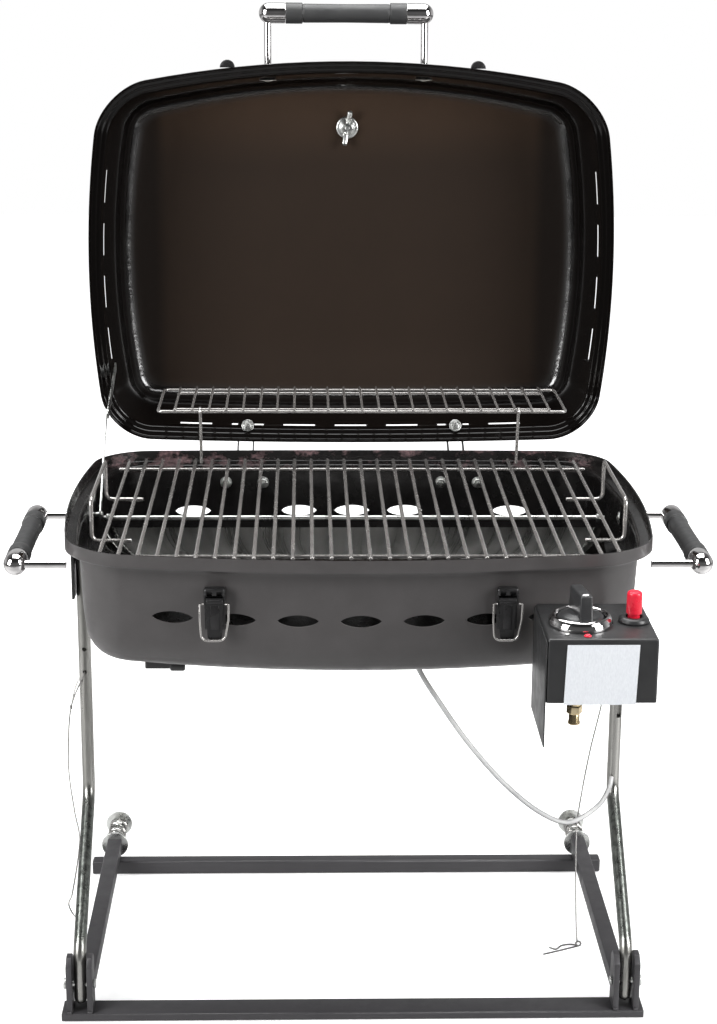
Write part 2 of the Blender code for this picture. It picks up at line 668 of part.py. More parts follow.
def make_gas_parts():
    x, y = KNOB
    z = BOX_TOP - 0.0130
    body = rod("gas_valve", (x, y, z), (x, y, z - 0.022), 0.0095, 20)
    outlet = rod("outlet", (x - 0.006, y, z - 0.0125), (3 * VENT_PITCH - 0.006, y, z - 0.0125), 0.0050, 12)
    jet = rod("jet", (3 * VENT_PITCH, y, z - 0.0125), (3 * VENT_PITCH, -0.1590, VENT_Z - 0.0035), 0.0030, 12)
    look(joined(body, [outlet, jet]), "brass")
    inlet = [(0, 0.0130), (0.0050, 0.0130), (0.0050, -0.0221), (0.0064, -0.0221), (0.0064, -0.0294),
             (0.0046, -0.0296), (0.0046, -0.0360), (0.0052, -0.0388), (0, -0.0388)]
    place = Matrix.Translation((x - 0.003, y - 0.004, z - 0.0220 - 0.0130 - GAP))
    look(turned("gas_inlet", inlet, place, 12), "brass")
    wire_path = [(0.100, -0.030, FLOOR_Z + SHEET + GAP), (0.100, -0.030, 0.4640), (0.100, -0.012, 0.4640)]
    look(wire("igniter_electrode", rounded(wire_path, 0.004, 3), 0.0018, 1), "ceramic")


# ---------------------------------------------------------------- latches and hinges

def wall_front(x, inset):
    """Y of the firebox front wall at x for a given inset."""
    a, b = HALF_W - inset, HALF_D - inset
    return BOX_Y - b - BOW_FRONT * (1 - (x / a) ** 2)


def make_latch(side):
    x = side * CATCH_X
    wall = wall_front(x, 0.0118) - 0.0012
    name = side_name(side) + "_latch_"
    w = 0.0093
    top, low = 0.4970, 0.4850
    body_outline = [(wall - 0.0093, top), (wall - 0.0093, low + 0.0062), (wall - 0.0078, low + 0.0045),
                    (wall, low + 0.0045), (wall, top)]
    body = flat(name + "base", body_outline, 2 * w, frame((x, 0, 0), (0, 1, 0), (0, 0, 1)))
    ears = [box("ear", (x + lo, wall - 0.0080, low - 0.0030), (x + hi, wall - 0.0004, low + 0.006))
            for lo, hi in ((-w + 0.0002, -w + 0.0016), (w - 0.0016, w - 0.0002))]
    plate = box("plate", (x - w + 0.0004, wall - 0.0014, 0.4580),
                (x + w - 0.0004, wall - 0.0002, low + 0.007))
    look(joined(body, ears + [plate]), "black_paint", smooth=False)
    pivot = (x, wall - 0.0075, low)
    inner = w - 0.0016 - GAP
    half_low = 0.0062
    plane = frame((x, pivot[1], 0), (1, 0, 0), (0, 0, 1))
    half_outline = [(inner, low + 0.0030), (inner, low - 0.0020),
                    (half_low, 0.4520), (half_low - 0.002, 0.4500)]
    outline_pts = [(-u, v) for u, v in half_outline] + half_outline[::-1]
    lever = flat(name + "lever", outline_pts, 0.0018, plane)
    knuckle = rod("knuckle", (x - inner, pivot[1], low), (x + inner, pivot[1], low), 0.0022, 12)
    lip = box("lip", (x - half_low, pivot[1] - 0.0022, 0.4500), (x + half_low, pivot[1] + 0.0005, 0.4512))
    look(set_origin(joined(lever, [knuckle, lip]), pivot), "black_paint", smooth=False)
    y = pivot[1] - 0.0040
    r, eye = 0.0011, 0.4840
    half = 0.0122
    path = [(x - half, y, eye), (x - half, y, 0.4515), (x + half, y, 0.4515), (x + half, y, eye)]
    bail = wire(name + "bail", rounded(path, 0.005, 4), r, 1)
    bridge = rod("bridge", (x - half, y, eye - 0.0002), (x + half, y, eye - 0.0002), r, 8)
    set_origin(look(joined(bail, [bridge]), "chrome"), (x, y, eye - 0.0002))


def wall_rear(x, inset):
    """Y of the rear wall at x for a given inset."""
    a, b = HALF_W - inset, HALF_D - inset
    return BOX_Y + b + BOW_REAR * (1 - (x / a) ** 2)


def lid_wall_rear(x, height):
    """Y of the closed lid's rear wall at a height above its opening plane."""
    inset = STEP_IN + 0.0020 + (height - 0.0150) * 0.0090 / 0.0490
    return wall_rear(x, inset - LID_GROW)


def make_hinges():
    """Lower leaves bolt to the firebox back wall; upper leaves bolt to the lid."""
    lid_pieces = []
    for side in (-1, 1):
        x = side * HINGE_X
        wall = wall_rear(HINGE_X - HINGE_PLATE, 0.0118) + GAP
        half = STRAP / 2
        ear_x = half - 0.0012 - GAP - 0.0008
        name = side_name(side) + "_hinge_"
        plate = box(name + "lower", (x - HINGE_PLATE, wall, 0.4860), (x + HINGE_PLATE, wall + 0.0014, 0.5020))
        ears = []
        for s in (-1, 1):
            e = x + s * ear_x
            ears.append(box("ear", (e - 0.0008, wall + 0.0003, 0.4960),
                            (e + 0.0008, HINGE_Y + 0.0046, 0.5066)))
        reach = half + 0.0015
        pin = rod("pin", (x - reach, HINGE_Y, HINGE_Z), (x + reach, HINGE_Y, HINGE_Z), 0.0020, 12)
        look(joined(plate, ears + [pin]), "black_paint", smooth=False)
        low, high = 0.0165, 0.0400
        near, far = lid_wall_rear(HINGE_X, low) + 0.0005, lid_wall_rear(HINGE_X, high) + 0.0005
        profile = [(HINGE_Y - 0.0050, HINGE_Z - 0.0045), (HINGE_Y + 0.0050, HINGE_Z - 0.0045),
                   (HINGE_Y + 0.0050, HINGE_Z + 0.0040), (far + 0.0120, LID_Z + high), (far, LID_Z + high),
                   (near, LID_Z + low), (0.2065, LID_Z + 0.0105), (HINGE_Y - 0.0100, HINGE_Z + 0.0100)]
        straps = []
        for s in (-1, 1):
            plane = frame((x + s * (half - 0.0006), 0, 0), (0, 1, 0), (0, 0, 1))
            straps.append(flat("strap", profile, 0.0012, plane))
        web = [(near, LID_Z + low), (far, LID_Z + high)]
        web += [(far + 0.0014, LID_Z + high), (near + 0.0014, LID_Z + low)]
        leaf = flat(name + "upper", web, STRAP - 0.0010, frame((x, 0, 0), (0, 1, 0), (0, 0, 1)))
        leaf = joined(leaf, straps)
        hole = rod("hole", (x - 0.02, HINGE_Y, HINGE_Z), (x + 0.02, HINGE_Y, HINGE_Z), 0.0020 + GAP, 12)
        lid_pieces.append(look(baked(cut(leaf, hole)), "black_paint", smooth=False))
    return lid_pieces


def make_catches():
    pieces = []
    y = BOX_Y - HALF_D - LID_GROW - BOW_FRONT * (1 - (CATCH_X / HALF_W) ** 2)
    for side in (-1, 1):
        x = side * CATCH_X
        angles = [math.radians(a) for a in range(180, 361, 20)]
        pts = [(0.0075 * math.cos(a), 0.0075 * math.sin(a)) for a in angles]
        plane = frame((x, y - GAP - 0.0002, LID_Z + 0.0045), (1, 0, 0), (0, 1, 0))
        tab = flat(side_name(side) + "_latch_catch", pts, 0.0050, plane)
        pieces.append(look(tab, "black_paint"))
    return pieces


def make_thermometer():
    """Dial on the outside of the lid, its stem, and the wing nut inside."""
    x, y = DIAL
    top = LID_Z + LID_DEPTH
    dial = [(0, 0.0060), (0.0190, 0.0060), (0.0205, 0.0080), (0.0225, 0.0070), (0.0230, 0.0), (0, 0.0)]
    face = turned("thermometer", dial, Matrix.Translation((x, y, top + GAP)), 28)
    under = Vector((x, y, top - LID_SHEET - GAP))
    r = DIAL_WASHER
    nut = [(0.0034, 0), (r, 0), (r, -0.0012), (0.0060, -0.0016), (0.0055, -0.0075),
           (0.0034, -0.0075), (0.0034, 0)]
    washer = turned("thermometer_wing_nut", nut, Matrix.Translation(under), 20)
    turn = math.radians(WING_TURN)
    wings = []
    for s in (-1, 1):
        pts = [(s * 0.0045, -0.0015), (s * 0.0110, -0.0030), (s * DIAL_WING, -0.0105),
               (s * (DIAL_WING - 0.0020), -0.0120), (s * 0.0045, -0.0070)]
        plane = frame(under, (math.cos(turn), math.sin(turn), 0), (0, 0, 1))
        wings.append(flat("wing", pts, 0.0026, plane))
    return [look(face, "chrome"), look(joined(washer, wings), "zinc")]


def link_plate(name, start, end, x, t, half=0.0052):
    """Flat strip with round ends between two points of the YZ plane."""
    a, b = Vector(start), Vector(end)
    along = (b - a).normalized()
    length = (b - a).length
    angles = [math.radians(d) for d in range(90, 271, 30)]
    pts = [(half * math.cos(a), half * math.sin(a)) for a in angles]
    pts += [(length - half * math.cos(a), -half * math.sin(a)) for a in angles]
    place = frame((x, *a), (0, along.x, along.y), (0, -along.y, along.x))
    strip = flat(name, pts, t, place)
    return set_origin(look(strip, "zinc", smooth=False), (x, *a))


def make_lid_stay():
    link_plate("lid_stay_lower", STAY_FOOT, STAY_MID, -0.2452, 0.0012)
    link_plate("lid_stay_upper", STAY_TOP, STAY_MID, -0.2434, 0.0012)


def make_bottom_bracket():
    block = box("bottom_bracket", (-0.1900, -0.1050, FLOOR_Z - 0.0130),
                (-0.1580, -0.0800, FLOOR_Z - GAP), 0.0010)
    look(block, "black_paint", smooth=False)


def open_lid(pieces):
    """Hang the lid's pieces, drawn closed, from an empty on the hinge axis, swung open."""
    pivot = bpy.data.objects.new("lid_pivot", None)
    bpy.data.collections[PARTS].objects.link(pivot)
    axis = Vector((0, HINGE_Y, HINGE_Z))
    pivot.location = axis
    pivot.rotation_euler = (math.radians(-90), 0, 0)
    for piece in pieces:
        piece.parent = pivot
        piece.matrix_parent_inverse = Matrix.Translation(-axis)


MATERIALS = {}


def make_materials():
    MATERIALS.update({
        "enamel": material("enamel", (0.016, 0.015, 0.014), 0.0, 0.32),
        "chrome": material("chrome", (0.62, 0.61, 0.60), 1.0, 0.16),
        "zinc": material("zinc", (0.60, 0.62, 0.60), 1.0, 0.33),
        "frame_paint": material("frame_paint", (0.035, 0.034, 0.038), 0.0, 0.42),
        "black_paint": material("black_paint", (0.018, 0.018, 0.018), 0.0, 0.40),
        "black_plastic": material("black_plastic", (0.025, 0.025, 0.026), 0.0, 0.50),
        "red_plastic": material("red_plastic", (0.62, 0.015, 0.030), 0.0, 0.35),
        "steel": material("steel", (0.50, 0.49, 0.47), 1.0, 0.22),
        "brass": material("brass", (0.66, 0.46, 0.17), 1.0, 0.28),
        "ceramic": material("ceramic", (0.80, 0.79, 0.75), 0.0, 0.45),
    })


def main():
    clear_scene()
    make_materials()
    make_base()
    make_firebox()
    make_side_handles()
    make_cooking_grate()
    make_heat_diffuser()
    make_burner()
    make_control_box()
    make_controls()
    for side in (-1, 1):
        make_latch(side)
    make_bottom_bracket()
    lid_front = BOX_Y - HALF_D - LID_GROW - BOW_FRONT + 0.0140
    grip_at = (LID_HANDLE_X, lid_front - LID_HANDLE_OUT, LID_Z + LID_HANDLE_RISE)
    lid_handle = make_handle("lid_handle", grip_at, (1, 0, 0), (0, -1, 0), LID_STANDOFF)
    open_lid(make_lid() + lid_handle + make_hinges() + make_catches() + make_thermometer())
    make_warming_rack()
    make_rack_legs()
    make_lid_stay()


main()
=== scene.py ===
import random
from math import copysign, cos, pi, radians, sin, tan

import bmesh
import bpy
from mathutils import Matrix, Vector


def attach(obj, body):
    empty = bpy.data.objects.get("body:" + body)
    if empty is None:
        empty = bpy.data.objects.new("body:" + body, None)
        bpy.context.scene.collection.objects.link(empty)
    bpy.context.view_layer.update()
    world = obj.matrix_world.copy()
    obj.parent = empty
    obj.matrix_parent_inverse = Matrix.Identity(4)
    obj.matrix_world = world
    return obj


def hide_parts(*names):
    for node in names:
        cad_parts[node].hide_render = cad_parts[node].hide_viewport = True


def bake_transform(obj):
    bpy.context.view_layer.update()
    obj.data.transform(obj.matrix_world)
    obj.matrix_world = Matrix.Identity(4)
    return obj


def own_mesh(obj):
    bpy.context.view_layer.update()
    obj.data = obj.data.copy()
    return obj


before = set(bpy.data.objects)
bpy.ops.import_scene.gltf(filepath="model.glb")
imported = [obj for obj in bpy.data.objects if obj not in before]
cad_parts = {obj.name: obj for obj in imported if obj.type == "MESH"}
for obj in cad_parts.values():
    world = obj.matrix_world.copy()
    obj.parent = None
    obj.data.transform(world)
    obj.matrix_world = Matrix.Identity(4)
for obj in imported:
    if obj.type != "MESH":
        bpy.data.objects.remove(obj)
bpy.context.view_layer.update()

random.seed(7)

# ---- dimensions, in metres, as in the CAD
HALF_W, HALF_D, CORNER = 0.2502, 0.1761, 0.045
BOW_FRONT, BOW_SIDE, BOW_REAR = 0.0288, 0.0155, 0.0048
BOX_Y, RIM_Z, FLOOR_Z = 0.02366, 0.5242, 0.4135
BAND_H, STEP_IN, SHEET = 0.0118, 0.0095, 0.0012
HINGE_Y, HINGE_Z, LID_Z, LID_DEPTH = 0.2252, 0.5016, 0.5256, 0.102
LID_GROW = 0.001
CATCH_X = 0.1246
VENT_PITCH, VENT_HALF, VENT_H, VENT_Z = 0.0538, 0.018, 0.0055, 0.466
GRATE_Z, GRATE_WIRE, GRATE_PITCH, GRATE_BARS = 0.5157, 0.0018, 0.45 / 27, 28
GRATE_Y0, GRATE_Y1 = -0.147, 0.1975
RACK_Z, RACK_HALF, RACK_Y0, RACK_Y1, RACK_WIRE = 0.578, 0.202, 0.155, 0.255, 0.0015
RACK_X, RACK_LEG_X, RACK_BARS = 0.009, {-1: -0.1513, 1: 0.164}, 23
RACK_LOW = RACK_Z - 2 * RACK_WIRE + 0.0006
POST_OFF, LID_POST_Z, LID_HANDLE_X = 0.0785, 0.032, -0.0064
LEG_X, LEG_R, PIVOT_Z = 0.269, 0.00635, 0.034
KNEE, ANKLE, LEG_TOP = (0.128, 0.184), (0.002, 0.068), (0.128, 0.43)
SIDE_BAR_X, SIDE_BAR_Y1, SIDE_BAR_Z, SIDE_BAR_HALF = 0.2655, 0.34, 0.0243, 0.008
SPRING_LEN, SPRING_TURNS, PULL = 0.056, 6, 0.01
KNOB, BUTTON, BOX_TOP = (0.1805, -0.217), (0.2255, -0.212), 0.481
DIAL = (-0.0035, -0.1088)
SLOT_HALF, SLOT_Y0, SLOT_LOW, SLOT_HIGH = 0.0165, -0.056, 0.017, 0.0228
HINGE_NUT_Z = 0.494
SHARP = radians(35)
SIDES = ((-1, "left"), (1, "right"))

X, Y, Z = Vector((1, 0, 0)), Vector((0, 1, 0)), Vector((0, 0, 1))
shift = Matrix.Translation


def mm(*points):
    """Points given in millimetres."""
    return [tuple(value / 1000 for value in point) for point in points]


# ---- materials

class Shade:
    """Short calls for the nodes of a material, or of the world."""

    def __init__(self, owner):
        owner.use_nodes = True
        self.owner, self.tree = owner, owner.node_tree
        self.coord = self.add("TexCoord").outputs["Object"]

    def feed(self, node, inputs):
        """Set or link a node's inputs; _ in a name stands for a space."""
        for key, value in inputs.items():
            socket = node.inputs[key.replace("_", " ") if isinstance(key, str) else key]
            if isinstance(value, bpy.types.NodeSocket):
                self.tree.links.new(value, socket)
            elif isinstance(value, tuple) and socket.type == "RGBA":
                socket.default_value = (*value, 1.0)
            else:
                socket.default_value = value

    def add(self, kind, **inputs):
        node = self.tree.nodes.new("ShaderNode" + kind)
        self.feed(node, inputs)
        return node

    def set(self, **values):
        self.feed(self.tree.nodes["Principled BSDF"], values)

    def noise(self, scale, detail=3.0, rough=0.55, stretch=None):
        where = self.coord
        if stretch:
            where = self.add("Mapping", Vector=where, Scale=stretch).outputs["Vector"]
        return self.add("TexNoise", Vector=where, Scale=scale, Detail=detail,
                        Roughness=rough).outputs["Fac"]

    def ramp(self, fac, *stops):
        node = self.add("ValToRGB", Fac=fac)
        for element, (at, color) in zip(node.color_ramp.elements, stops):
            element.position = at
            element.color = (*color, 1.0) if isinstance(color, tuple) else (color, color, color, 1.0)
        return node.outputs["Color"]

    def math(self, operation, a, b=0.0):
        node = self.add("Math")
        node.operation = operation
        self.feed(node, {0: a, 1: b})
        return node.outputs[0]

    def times(self, a, b):
        return self.math("MULTIPLY", a, b)

    def plus(self, a, b):
        return self.math("ADD", a, b)

    def mix(self, fac, a, b):
        node = self.add("Mix")
        node.data_type = "RGBA"
        self.feed(node, {"Factor": fac, "A": a, "B": b})
        return node.outputs["Result"]

    def span(self, value, low, high, out_low=0.0, out_high=1.0, shape="SMOOTHSTEP"):
        node = self.add("MapRange", Value=value, From_Min=low, From_Max=high, To_Min=out_low,
                        To_Max=out_high)
        node.interpolation_type = shape
        return node.outputs["Result"]

    def axis(self, index, coord=None):
        return self.add("SeparateXYZ", Vector=coord or self.coord).outputs[index]

    def edges(self):
        """White along outer edges, from how far a rounded normal turns there."""
        bevel = self.add("Bevel", Radius=0.0008)
        bevel.samples = 4
        dot = self.add("VectorMath")
        dot.operation = "DOT_PRODUCT"
        self.feed(dot, {0: bevel.outputs["Normal"], 1: self.add("NewGeometry").outputs["Normal"]})
        return self.span(self.math("SUBTRACT", 1.0, dot.outputs["Value"]), 0.02, 0.22)

    def bump(self, *layers):
        """layers: (height, distance in metres, strength), coarse to fine."""
        normal = None
        for height, distance, strength in layers:
            node = self.add("Bump", Height=height, Distance=distance, Strength=strength)
            if normal:
                self.feed(node, {"Normal": normal})
            normal = node.outputs["Normal"]
        self.set(Normal=normal)


def shade(name):
    return Shade(bpy.data.materials.new(name))


def painted(name, dark, light, rough, peel=0.25, grain=700, wear=None, coat=0.0, metal=0.0):
    """Powder coat or enamel: mottled tone, uneven sheen, orange peel, rubbed edges."""
    s = shade(name)
    fine = s.noise(grain, 2, 0.5)
    tone = s.ramp(s.noise(38, 5, 0.6), (0.3, dark), (0.72, light))
    tone = s.mix(s.times(fine, 0.25), tone, light)
    if wear:
        rub = s.times(s.edges(), s.ramp(s.noise(160, 4, 0.7), (0.46, 0.0), (0.66, 1.0)))
        tone = s.mix(s.times(rub, 0.6), tone, wear)
    s.set(Base_Color=tone, Roughness=s.span(s.noise(55, 4, 0.6), 0.3, 0.7, rough - 0.06, rough + 0.08))
    s.set(Coat_Weight=coat, Coat_Roughness=0.12, Metallic=metal)
    s.bump((s.noise(120, 2), 0.0004, peel * 0.25), (fine, 0.00008, peel))
    return s.owner


def plated(name, dark, light, rough, streak=None, scratch=0.06):
    """Chrome, nickel or zinc plate: slight cloudiness, drawing lines, water marks."""
    s = shade(name)
    cloud = s.noise(60, 4, 0.6, stretch=streak)
    lines = s.noise(900, 2, 0.5, stretch=streak or (1.0, 1.0, 1.0))
    uneven = s.plus(s.times(cloud, 0.7), s.times(lines, 0.3))
    s.set(Base_Color=s.ramp(cloud, (0.28, dark), (0.66, light)), Metallic=1.0)
    s.set(Roughness=s.span(uneven, 0.32, 0.68, rough * 0.75, rough * 1.4))
    if scratch:
        s.bump((lines, 0.00003, scratch))
    return s.owner


def moulded(name, color, light, rough, grain=1600, bump=0.25):
    s = shade(name)
    s.set(Base_Color=s.mix(s.times(s.noise(45, 4), 0.6), color, light))
    s.set(Roughness=s.span(s.noise(90, 3), 0.3, 0.7, rough - 0.05, rough + 0.07))
    s.bump((s.noise(grain, 2, 0.5), 0.00006, bump))
    return s.owner


def lid_lining():
    """Inside of the open lid: black gloss walls, mottled shining bends, a softer brown-black crown with a
    painted dark reflection along its sides.
    """
    s = shade("lid_lining")
    depth = s.axis(1)
    crown = s.span(depth, 0.3452, 0.3488)
    bend = s.times(s.span(depth, 0.334, 0.342), s.math("SUBTRACT", 1.0, crown))
    warm = s.span(s.axis(2), 0.79, 0.885)
    soft_tone = s.mix(warm, (0.021, 0.0145, 0.0108), (0.056, 0.035, 0.023))
    mottle = s.ramp(s.noise(26, 6, 0.65), (0.35, 0.0), (0.75, 1.0))
    soft_tone = s.mix(s.times(mottle, 0.3), soft_tone, (0.025, 0.0165, 0.012))
    # Painted dark reflection: the crown's colour darkens near the side walls.
    dark_reflection = s.span(s.math("ABSOLUTE", s.axis(0)), 0.19, 0.208)
    soft_tone = s.mix(s.times(dark_reflection, 0.75), soft_tone, (0.0075, 0.0058, 0.005))
    s.set(Base_Color=s.mix(crown, (0.0026, 0.002, 0.0018), soft_tone))
    patchy = s.times(bend, s.span(s.noise(60, 5, 0.6), 0.3, 0.7, 0.02, 0.14))
    s.set(Roughness=s.plus(s.plus(0.07, s.times(crown, 0.4)), patchy))
    s.set(Specular_IOR_Level=s.plus(s.times(bend, 0.6), s.span(crown, 0.0, 1.0, 0.34, 0.1)))
    peel = s.times(s.noise(300, 3, 0.55), s.plus(bend, 0.12))
    s.bump((s.noise(70, 2), 0.0009, 0.08), (peel, 0.0004, 0.4))
    return s.owner


def box_lining():
    """Inside of the firebox: black gloss, with sooty brown patches along the rear rim."""
    s = shade("firebox_lining")
    rear = s.span(s.axis(1), 0.172, 0.188)
    high = s.span(s.axis(2), 0.504, 0.514)
    patch = s.ramp(s.noise(30, 6, 0.7, stretch=(1.0, 1.0, 1.6)), (0.52, 0.0), (0.6, 1.0))
    soot = s.times(s.times(rear, high), patch)
    base = s.ramp(s.noise(42, 5), (0.3, (0.0045, 0.0042, 0.0042)), (0.75, (0.011, 0.01, 0.0098)))
    rust = s.ramp(s.noise(420, 4, 0.7), (0.4, (0.022, 0.01, 0.012)), (0.62, (0.13, 0.075, 0.078)))
    s.set(Base_Color=s.mix(soot, base, rust))
    s.set(Roughness=s.plus(s.span(s.noise(30, 4), 0.3, 0.7, 0.14, 0.3), s.times(soot, 0.5)))
    s.bump((s.noise(140, 3), 0.0005, 0.16), (s.noise(600, 3), 0.0003, 0.14))
    return s.owner


def milky_tube():
    """Translucent silicone: pale along its middle, with a painted shade that turns it grey where its wall
    is seen edge on.
    """
    s = shade("tether_silicone")
    # Painted shade: the colour turns grey where the tube's wall is seen edge on.
    edge_shade = s.span(s.add("LayerWeight").outputs["Facing"], 0.25, 0.85)
    cloud = s.ramp(s.noise(70, 3), (0.3, (0.5, 0.5, 0.5)), (0.7, (0.64, 0.64, 0.635)))
    s.set(Base_Color=s.mix(edge_shade, cloud, (0.2, 0.2, 0.205)), Roughness=0.34)
    s.set(Subsurface_Weight=0.2, Subsurface_Radius=(0.004, 0.004, 0.004), Subsurface_Scale=1.0)
    s.bump((s.noise(300, 2), 0.0001, 0.1))
    return s.owner


def paper():
    s = shade("blank_label")
    fibre = s.noise(900, 3, 0.6, stretch=(1.0, 1.0, 0.35))
    s.set(Base_Color=s.ramp(fibre, (0.3, (0.58, 0.6, 0.63)), (0.7, (0.66, 0.68, 0.71))), Roughness=0.42)
    s.bump((fibre, 0.00004, 0.15), (s.noise(40, 2), 0.0005, 0.15))
    return s.owner


def pale_floor():
    """Pale backdrop that brightens to white away from the grill; it mirrors darker in front."""
    s = shade("studio_floor")
    tone = s.ramp(s.noise(2.0, 2), (0.3, (0.86, 0.86, 0.86)), (0.7, (0.88, 0.88, 0.88)))
    away = s.add("VectorMath", Vector=s.coord)
    away.operation = "LENGTH"
    seen = s.add("LightPath").outputs["Is Camera Ray"]
    front = s.span(s.axis(1), -0.55, -0.05, 0.34, 0.62)
    s.set(Base_Color=s.mix(seen, front, tone), Roughness=0.6, Emission_Color=(1.0, 1.0, 1.0))
    s.set(Emission_Strength=s.times(s.span(away.outputs["Value"], 0.5, 1.5, 0.42, 1.0), seen))
    return s.owner


def leg_zinc():
    """Bright plated tube with long draw marks, duller and darker between knee and ankle: a painted shade on
    the part that leans forward and down.
    """
    s = shade("leg_zinc_plate")
    streak = s.noise(120, 5, 0.65, stretch=(1.0, 1.0, 0.07))
    tone = s.ramp(streak, (0.34, (0.2, 0.198, 0.185)), (0.6, (0.4, 0.395, 0.375)))
    # Painted shade: darker colour between knee and ankle.
    low = s.times(s.span(s.axis(2), 0.168, 0.196, 1.0, 0.0), s.span(s.axis(2), 0.066, 0.084))
    speck = s.noise(240, 3, 0.7, stretch=(1.0, 1.0, 0.4))
    low_shade_tone = s.ramp(speck, (0.36, (0.085, 0.095, 0.088)), (0.66, (0.25, 0.27, 0.25)))
    s.set(Base_Color=s.mix(s.times(low, 0.85), tone, low_shade_tone), Metallic=1.0)
    s.set(Roughness=s.span(streak, 0.3, 0.7, 0.36, 0.24))
    s.bump((streak, 0.00006, 0.25), (s.noise(900, 2, stretch=(1.0, 1.0, 0.1)), 0.00003, 0.2))
    return s.owner


M = {
    "enamel": painted("firebox_enamel", (0.044, 0.0405, 0.0405), (0.056, 0.052, 0.052), 0.4, 0.2, 900,
                      coat=0.1),
    "lid_out": painted("lid_enamel", (0.022, 0.0212, 0.0216), (0.029, 0.028, 0.0282), 0.3, 0.22, 800,
                       coat=0.2),
    "lining": box_lining(),
    "lid_in": lid_lining(),
    "frame": painted("stand_paint", (0.033, 0.0315, 0.0345), (0.04, 0.0385, 0.0415), 0.42, 0.3, 1300,
                     (0.13, 0.125, 0.125)),
    "black": painted("bracket_paint", (0.012, 0.0118, 0.0125), (0.018, 0.0175, 0.018), 0.34, 0.3, 1500,
                     (0.09, 0.09, 0.09)),
    "box": painted("control_box_paint", (0.015, 0.0152, 0.0158), (0.019, 0.0192, 0.0198), 0.38, 0.32, 1700,
                   (0.08, 0.08, 0.08)),
    "latch": painted("latch_finish", (0.026, 0.0255, 0.0265), (0.04, 0.039, 0.04), 0.28, 0.2, 1500,
                     (0.16, 0.155, 0.155), metal=0.6),
    "wire": painted("nickel_wire", (0.36, 0.345, 0.335), (0.46, 0.445, 0.43), 0.2, 0.02, metal=0.75),
    # Half-metal copy of the screw plating for the lid handle screws, a painted highlight: it shows bright
    # where plain plating would mirror the dark lid.
    "screw": painted("screw_plate_painted_highlight", (0.34, 0.33, 0.3), (0.52, 0.5, 0.46), 0.32, 0.1, metal=0.55),
    "chrome": plated("bright_chrome", (0.6, 0.585, 0.585), (0.78, 0.765, 0.765), 0.075),
    "cord": plated("cord_steel", (0.13, 0.128, 0.125), (0.24, 0.235, 0.23), 0.36),
    "zinc_small": plated("zinc_fittings", (0.6, 0.61, 0.59), (0.84, 0.85, 0.83), 0.3),
    "leg": leg_zinc(),
    "spring": plated("spring_wire", (0.26, 0.255, 0.245), (0.6, 0.59, 0.57), 0.2),
    "mirror": plated("diffuser_sheet", (0.2, 0.195, 0.19), (0.28, 0.275, 0.27), 0.06, scratch=0.0),
    "steel": plated("stainless_sheet", (0.4, 0.385, 0.375), (0.66, 0.645, 0.63), 0.2,
                    (0.12, 1.0, 1.0), 0.14),
    "brass": plated("machined_brass", (0.62, 0.47, 0.25), (0.84, 0.7, 0.45), 0.24),
    "grip": moulded("handle_sleeve", (0.02, 0.0205, 0.021), (0.038, 0.038, 0.0385), 0.46, 1900, 0.35),
    "knob": moulded("knob_plastic", (0.016, 0.0165, 0.0175), (0.03, 0.03, 0.031), 0.34),
    "red": moulded("button_plastic", (0.62, 0.01, 0.03), (0.78, 0.03, 0.06), 0.3, 1200, 0.12),
    "white": moulded("pointer_ink", (0.82, 0.82, 0.84), (0.9, 0.9, 0.9), 0.4),
    "ceramic": moulded("electrode_ceramic", (0.62, 0.6, 0.55), (0.82, 0.8, 0.76), 0.4),
    "tube": milky_tube(),
    "paper": paper(),
    "floor": pale_floor(),
}


# ---- mesh tools

def placed(name, data):
    obj = bpy.data.objects.new(name, data)
    bpy.context.scene.collection.objects.link(obj)
    return obj


def piece(name, mesh, mat, node=None, body="firebox_body", like=None, smooth=True):
    """A visible piece that stands for a CAD node and rides on a body; like is not used."""
    obj = placed(name, mesh)
    if mat:
        mesh.materials.clear()
        mesh.materials.append(M[mat])
    if smooth:
        mesh.shade_smooth()
        mesh.set_sharp_from_angle(angle=SHARP)
    if node:
        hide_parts(node)
    if body:
        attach(obj, body)
    return obj


def taken(bm):
    """The mesh of a finished bmesh."""
    mesh = bpy.data.meshes.new("part")
    bm.to_mesh(mesh)
    bm.free()
    return mesh


def merge(*meshes):
    """Several separate closed bodies in one mesh."""
    bm = bmesh.new()
    for mesh in meshes:
        bm.from_mesh(mesh)
    return taken(bm)


def moved(mesh, matrix):
    mesh = mesh.copy()
    mesh.transform(matrix)
    return mesh


def boolean(mesh, tools, operation="DIFFERENCE"):
    """Exact Boolean of a mesh with each tool mesh."""
    obj = placed("work", mesh)
    helpers = [placed("tool", tool) for tool in tools]
    for helper in helpers:
        cut = obj.modifiers.new("cut", "BOOLEAN")
        cut.operation = operation
        cut.solver = "EXACT"
        cut.object = helper
    bpy.context.view_layer.update()
    out = bpy.data.meshes.new_from_object(obj.evaluated_get(bpy.context.evaluated_depsgraph_get()))
    for item in helpers + [obj]:
        bpy.data.objects.remove(item, do_unlink=True)
    return out


def arc(before, here, after, reach, steps):
    """Points that round the corner at here, starting reach before it."""
    start = here + (before - here).normalized() * reach
    stop = here + (after - here).normalized() * reach
    shares = [k / steps for k in range(steps + 1)]
    return [start * (1 - t) ** 2 + here * 2 * t * (1 - t) + stop * t * t for t in shares]


def rounded(points, radius, steps=6):
    """Open path with each inner corner turned into an arc."""
    path = [Vector(p) for p in points]
    out = [path[0]]
    for before, here, after in zip(path, path[1:], path[2:]):
        a, b = before - here, after - here
        reach = min(radius / tan(a.angle(b) / 2), a.length * 0.48, b.length * 0.48)
        out += arc(before, here, after, reach, steps)
    return out + [path[-1]]


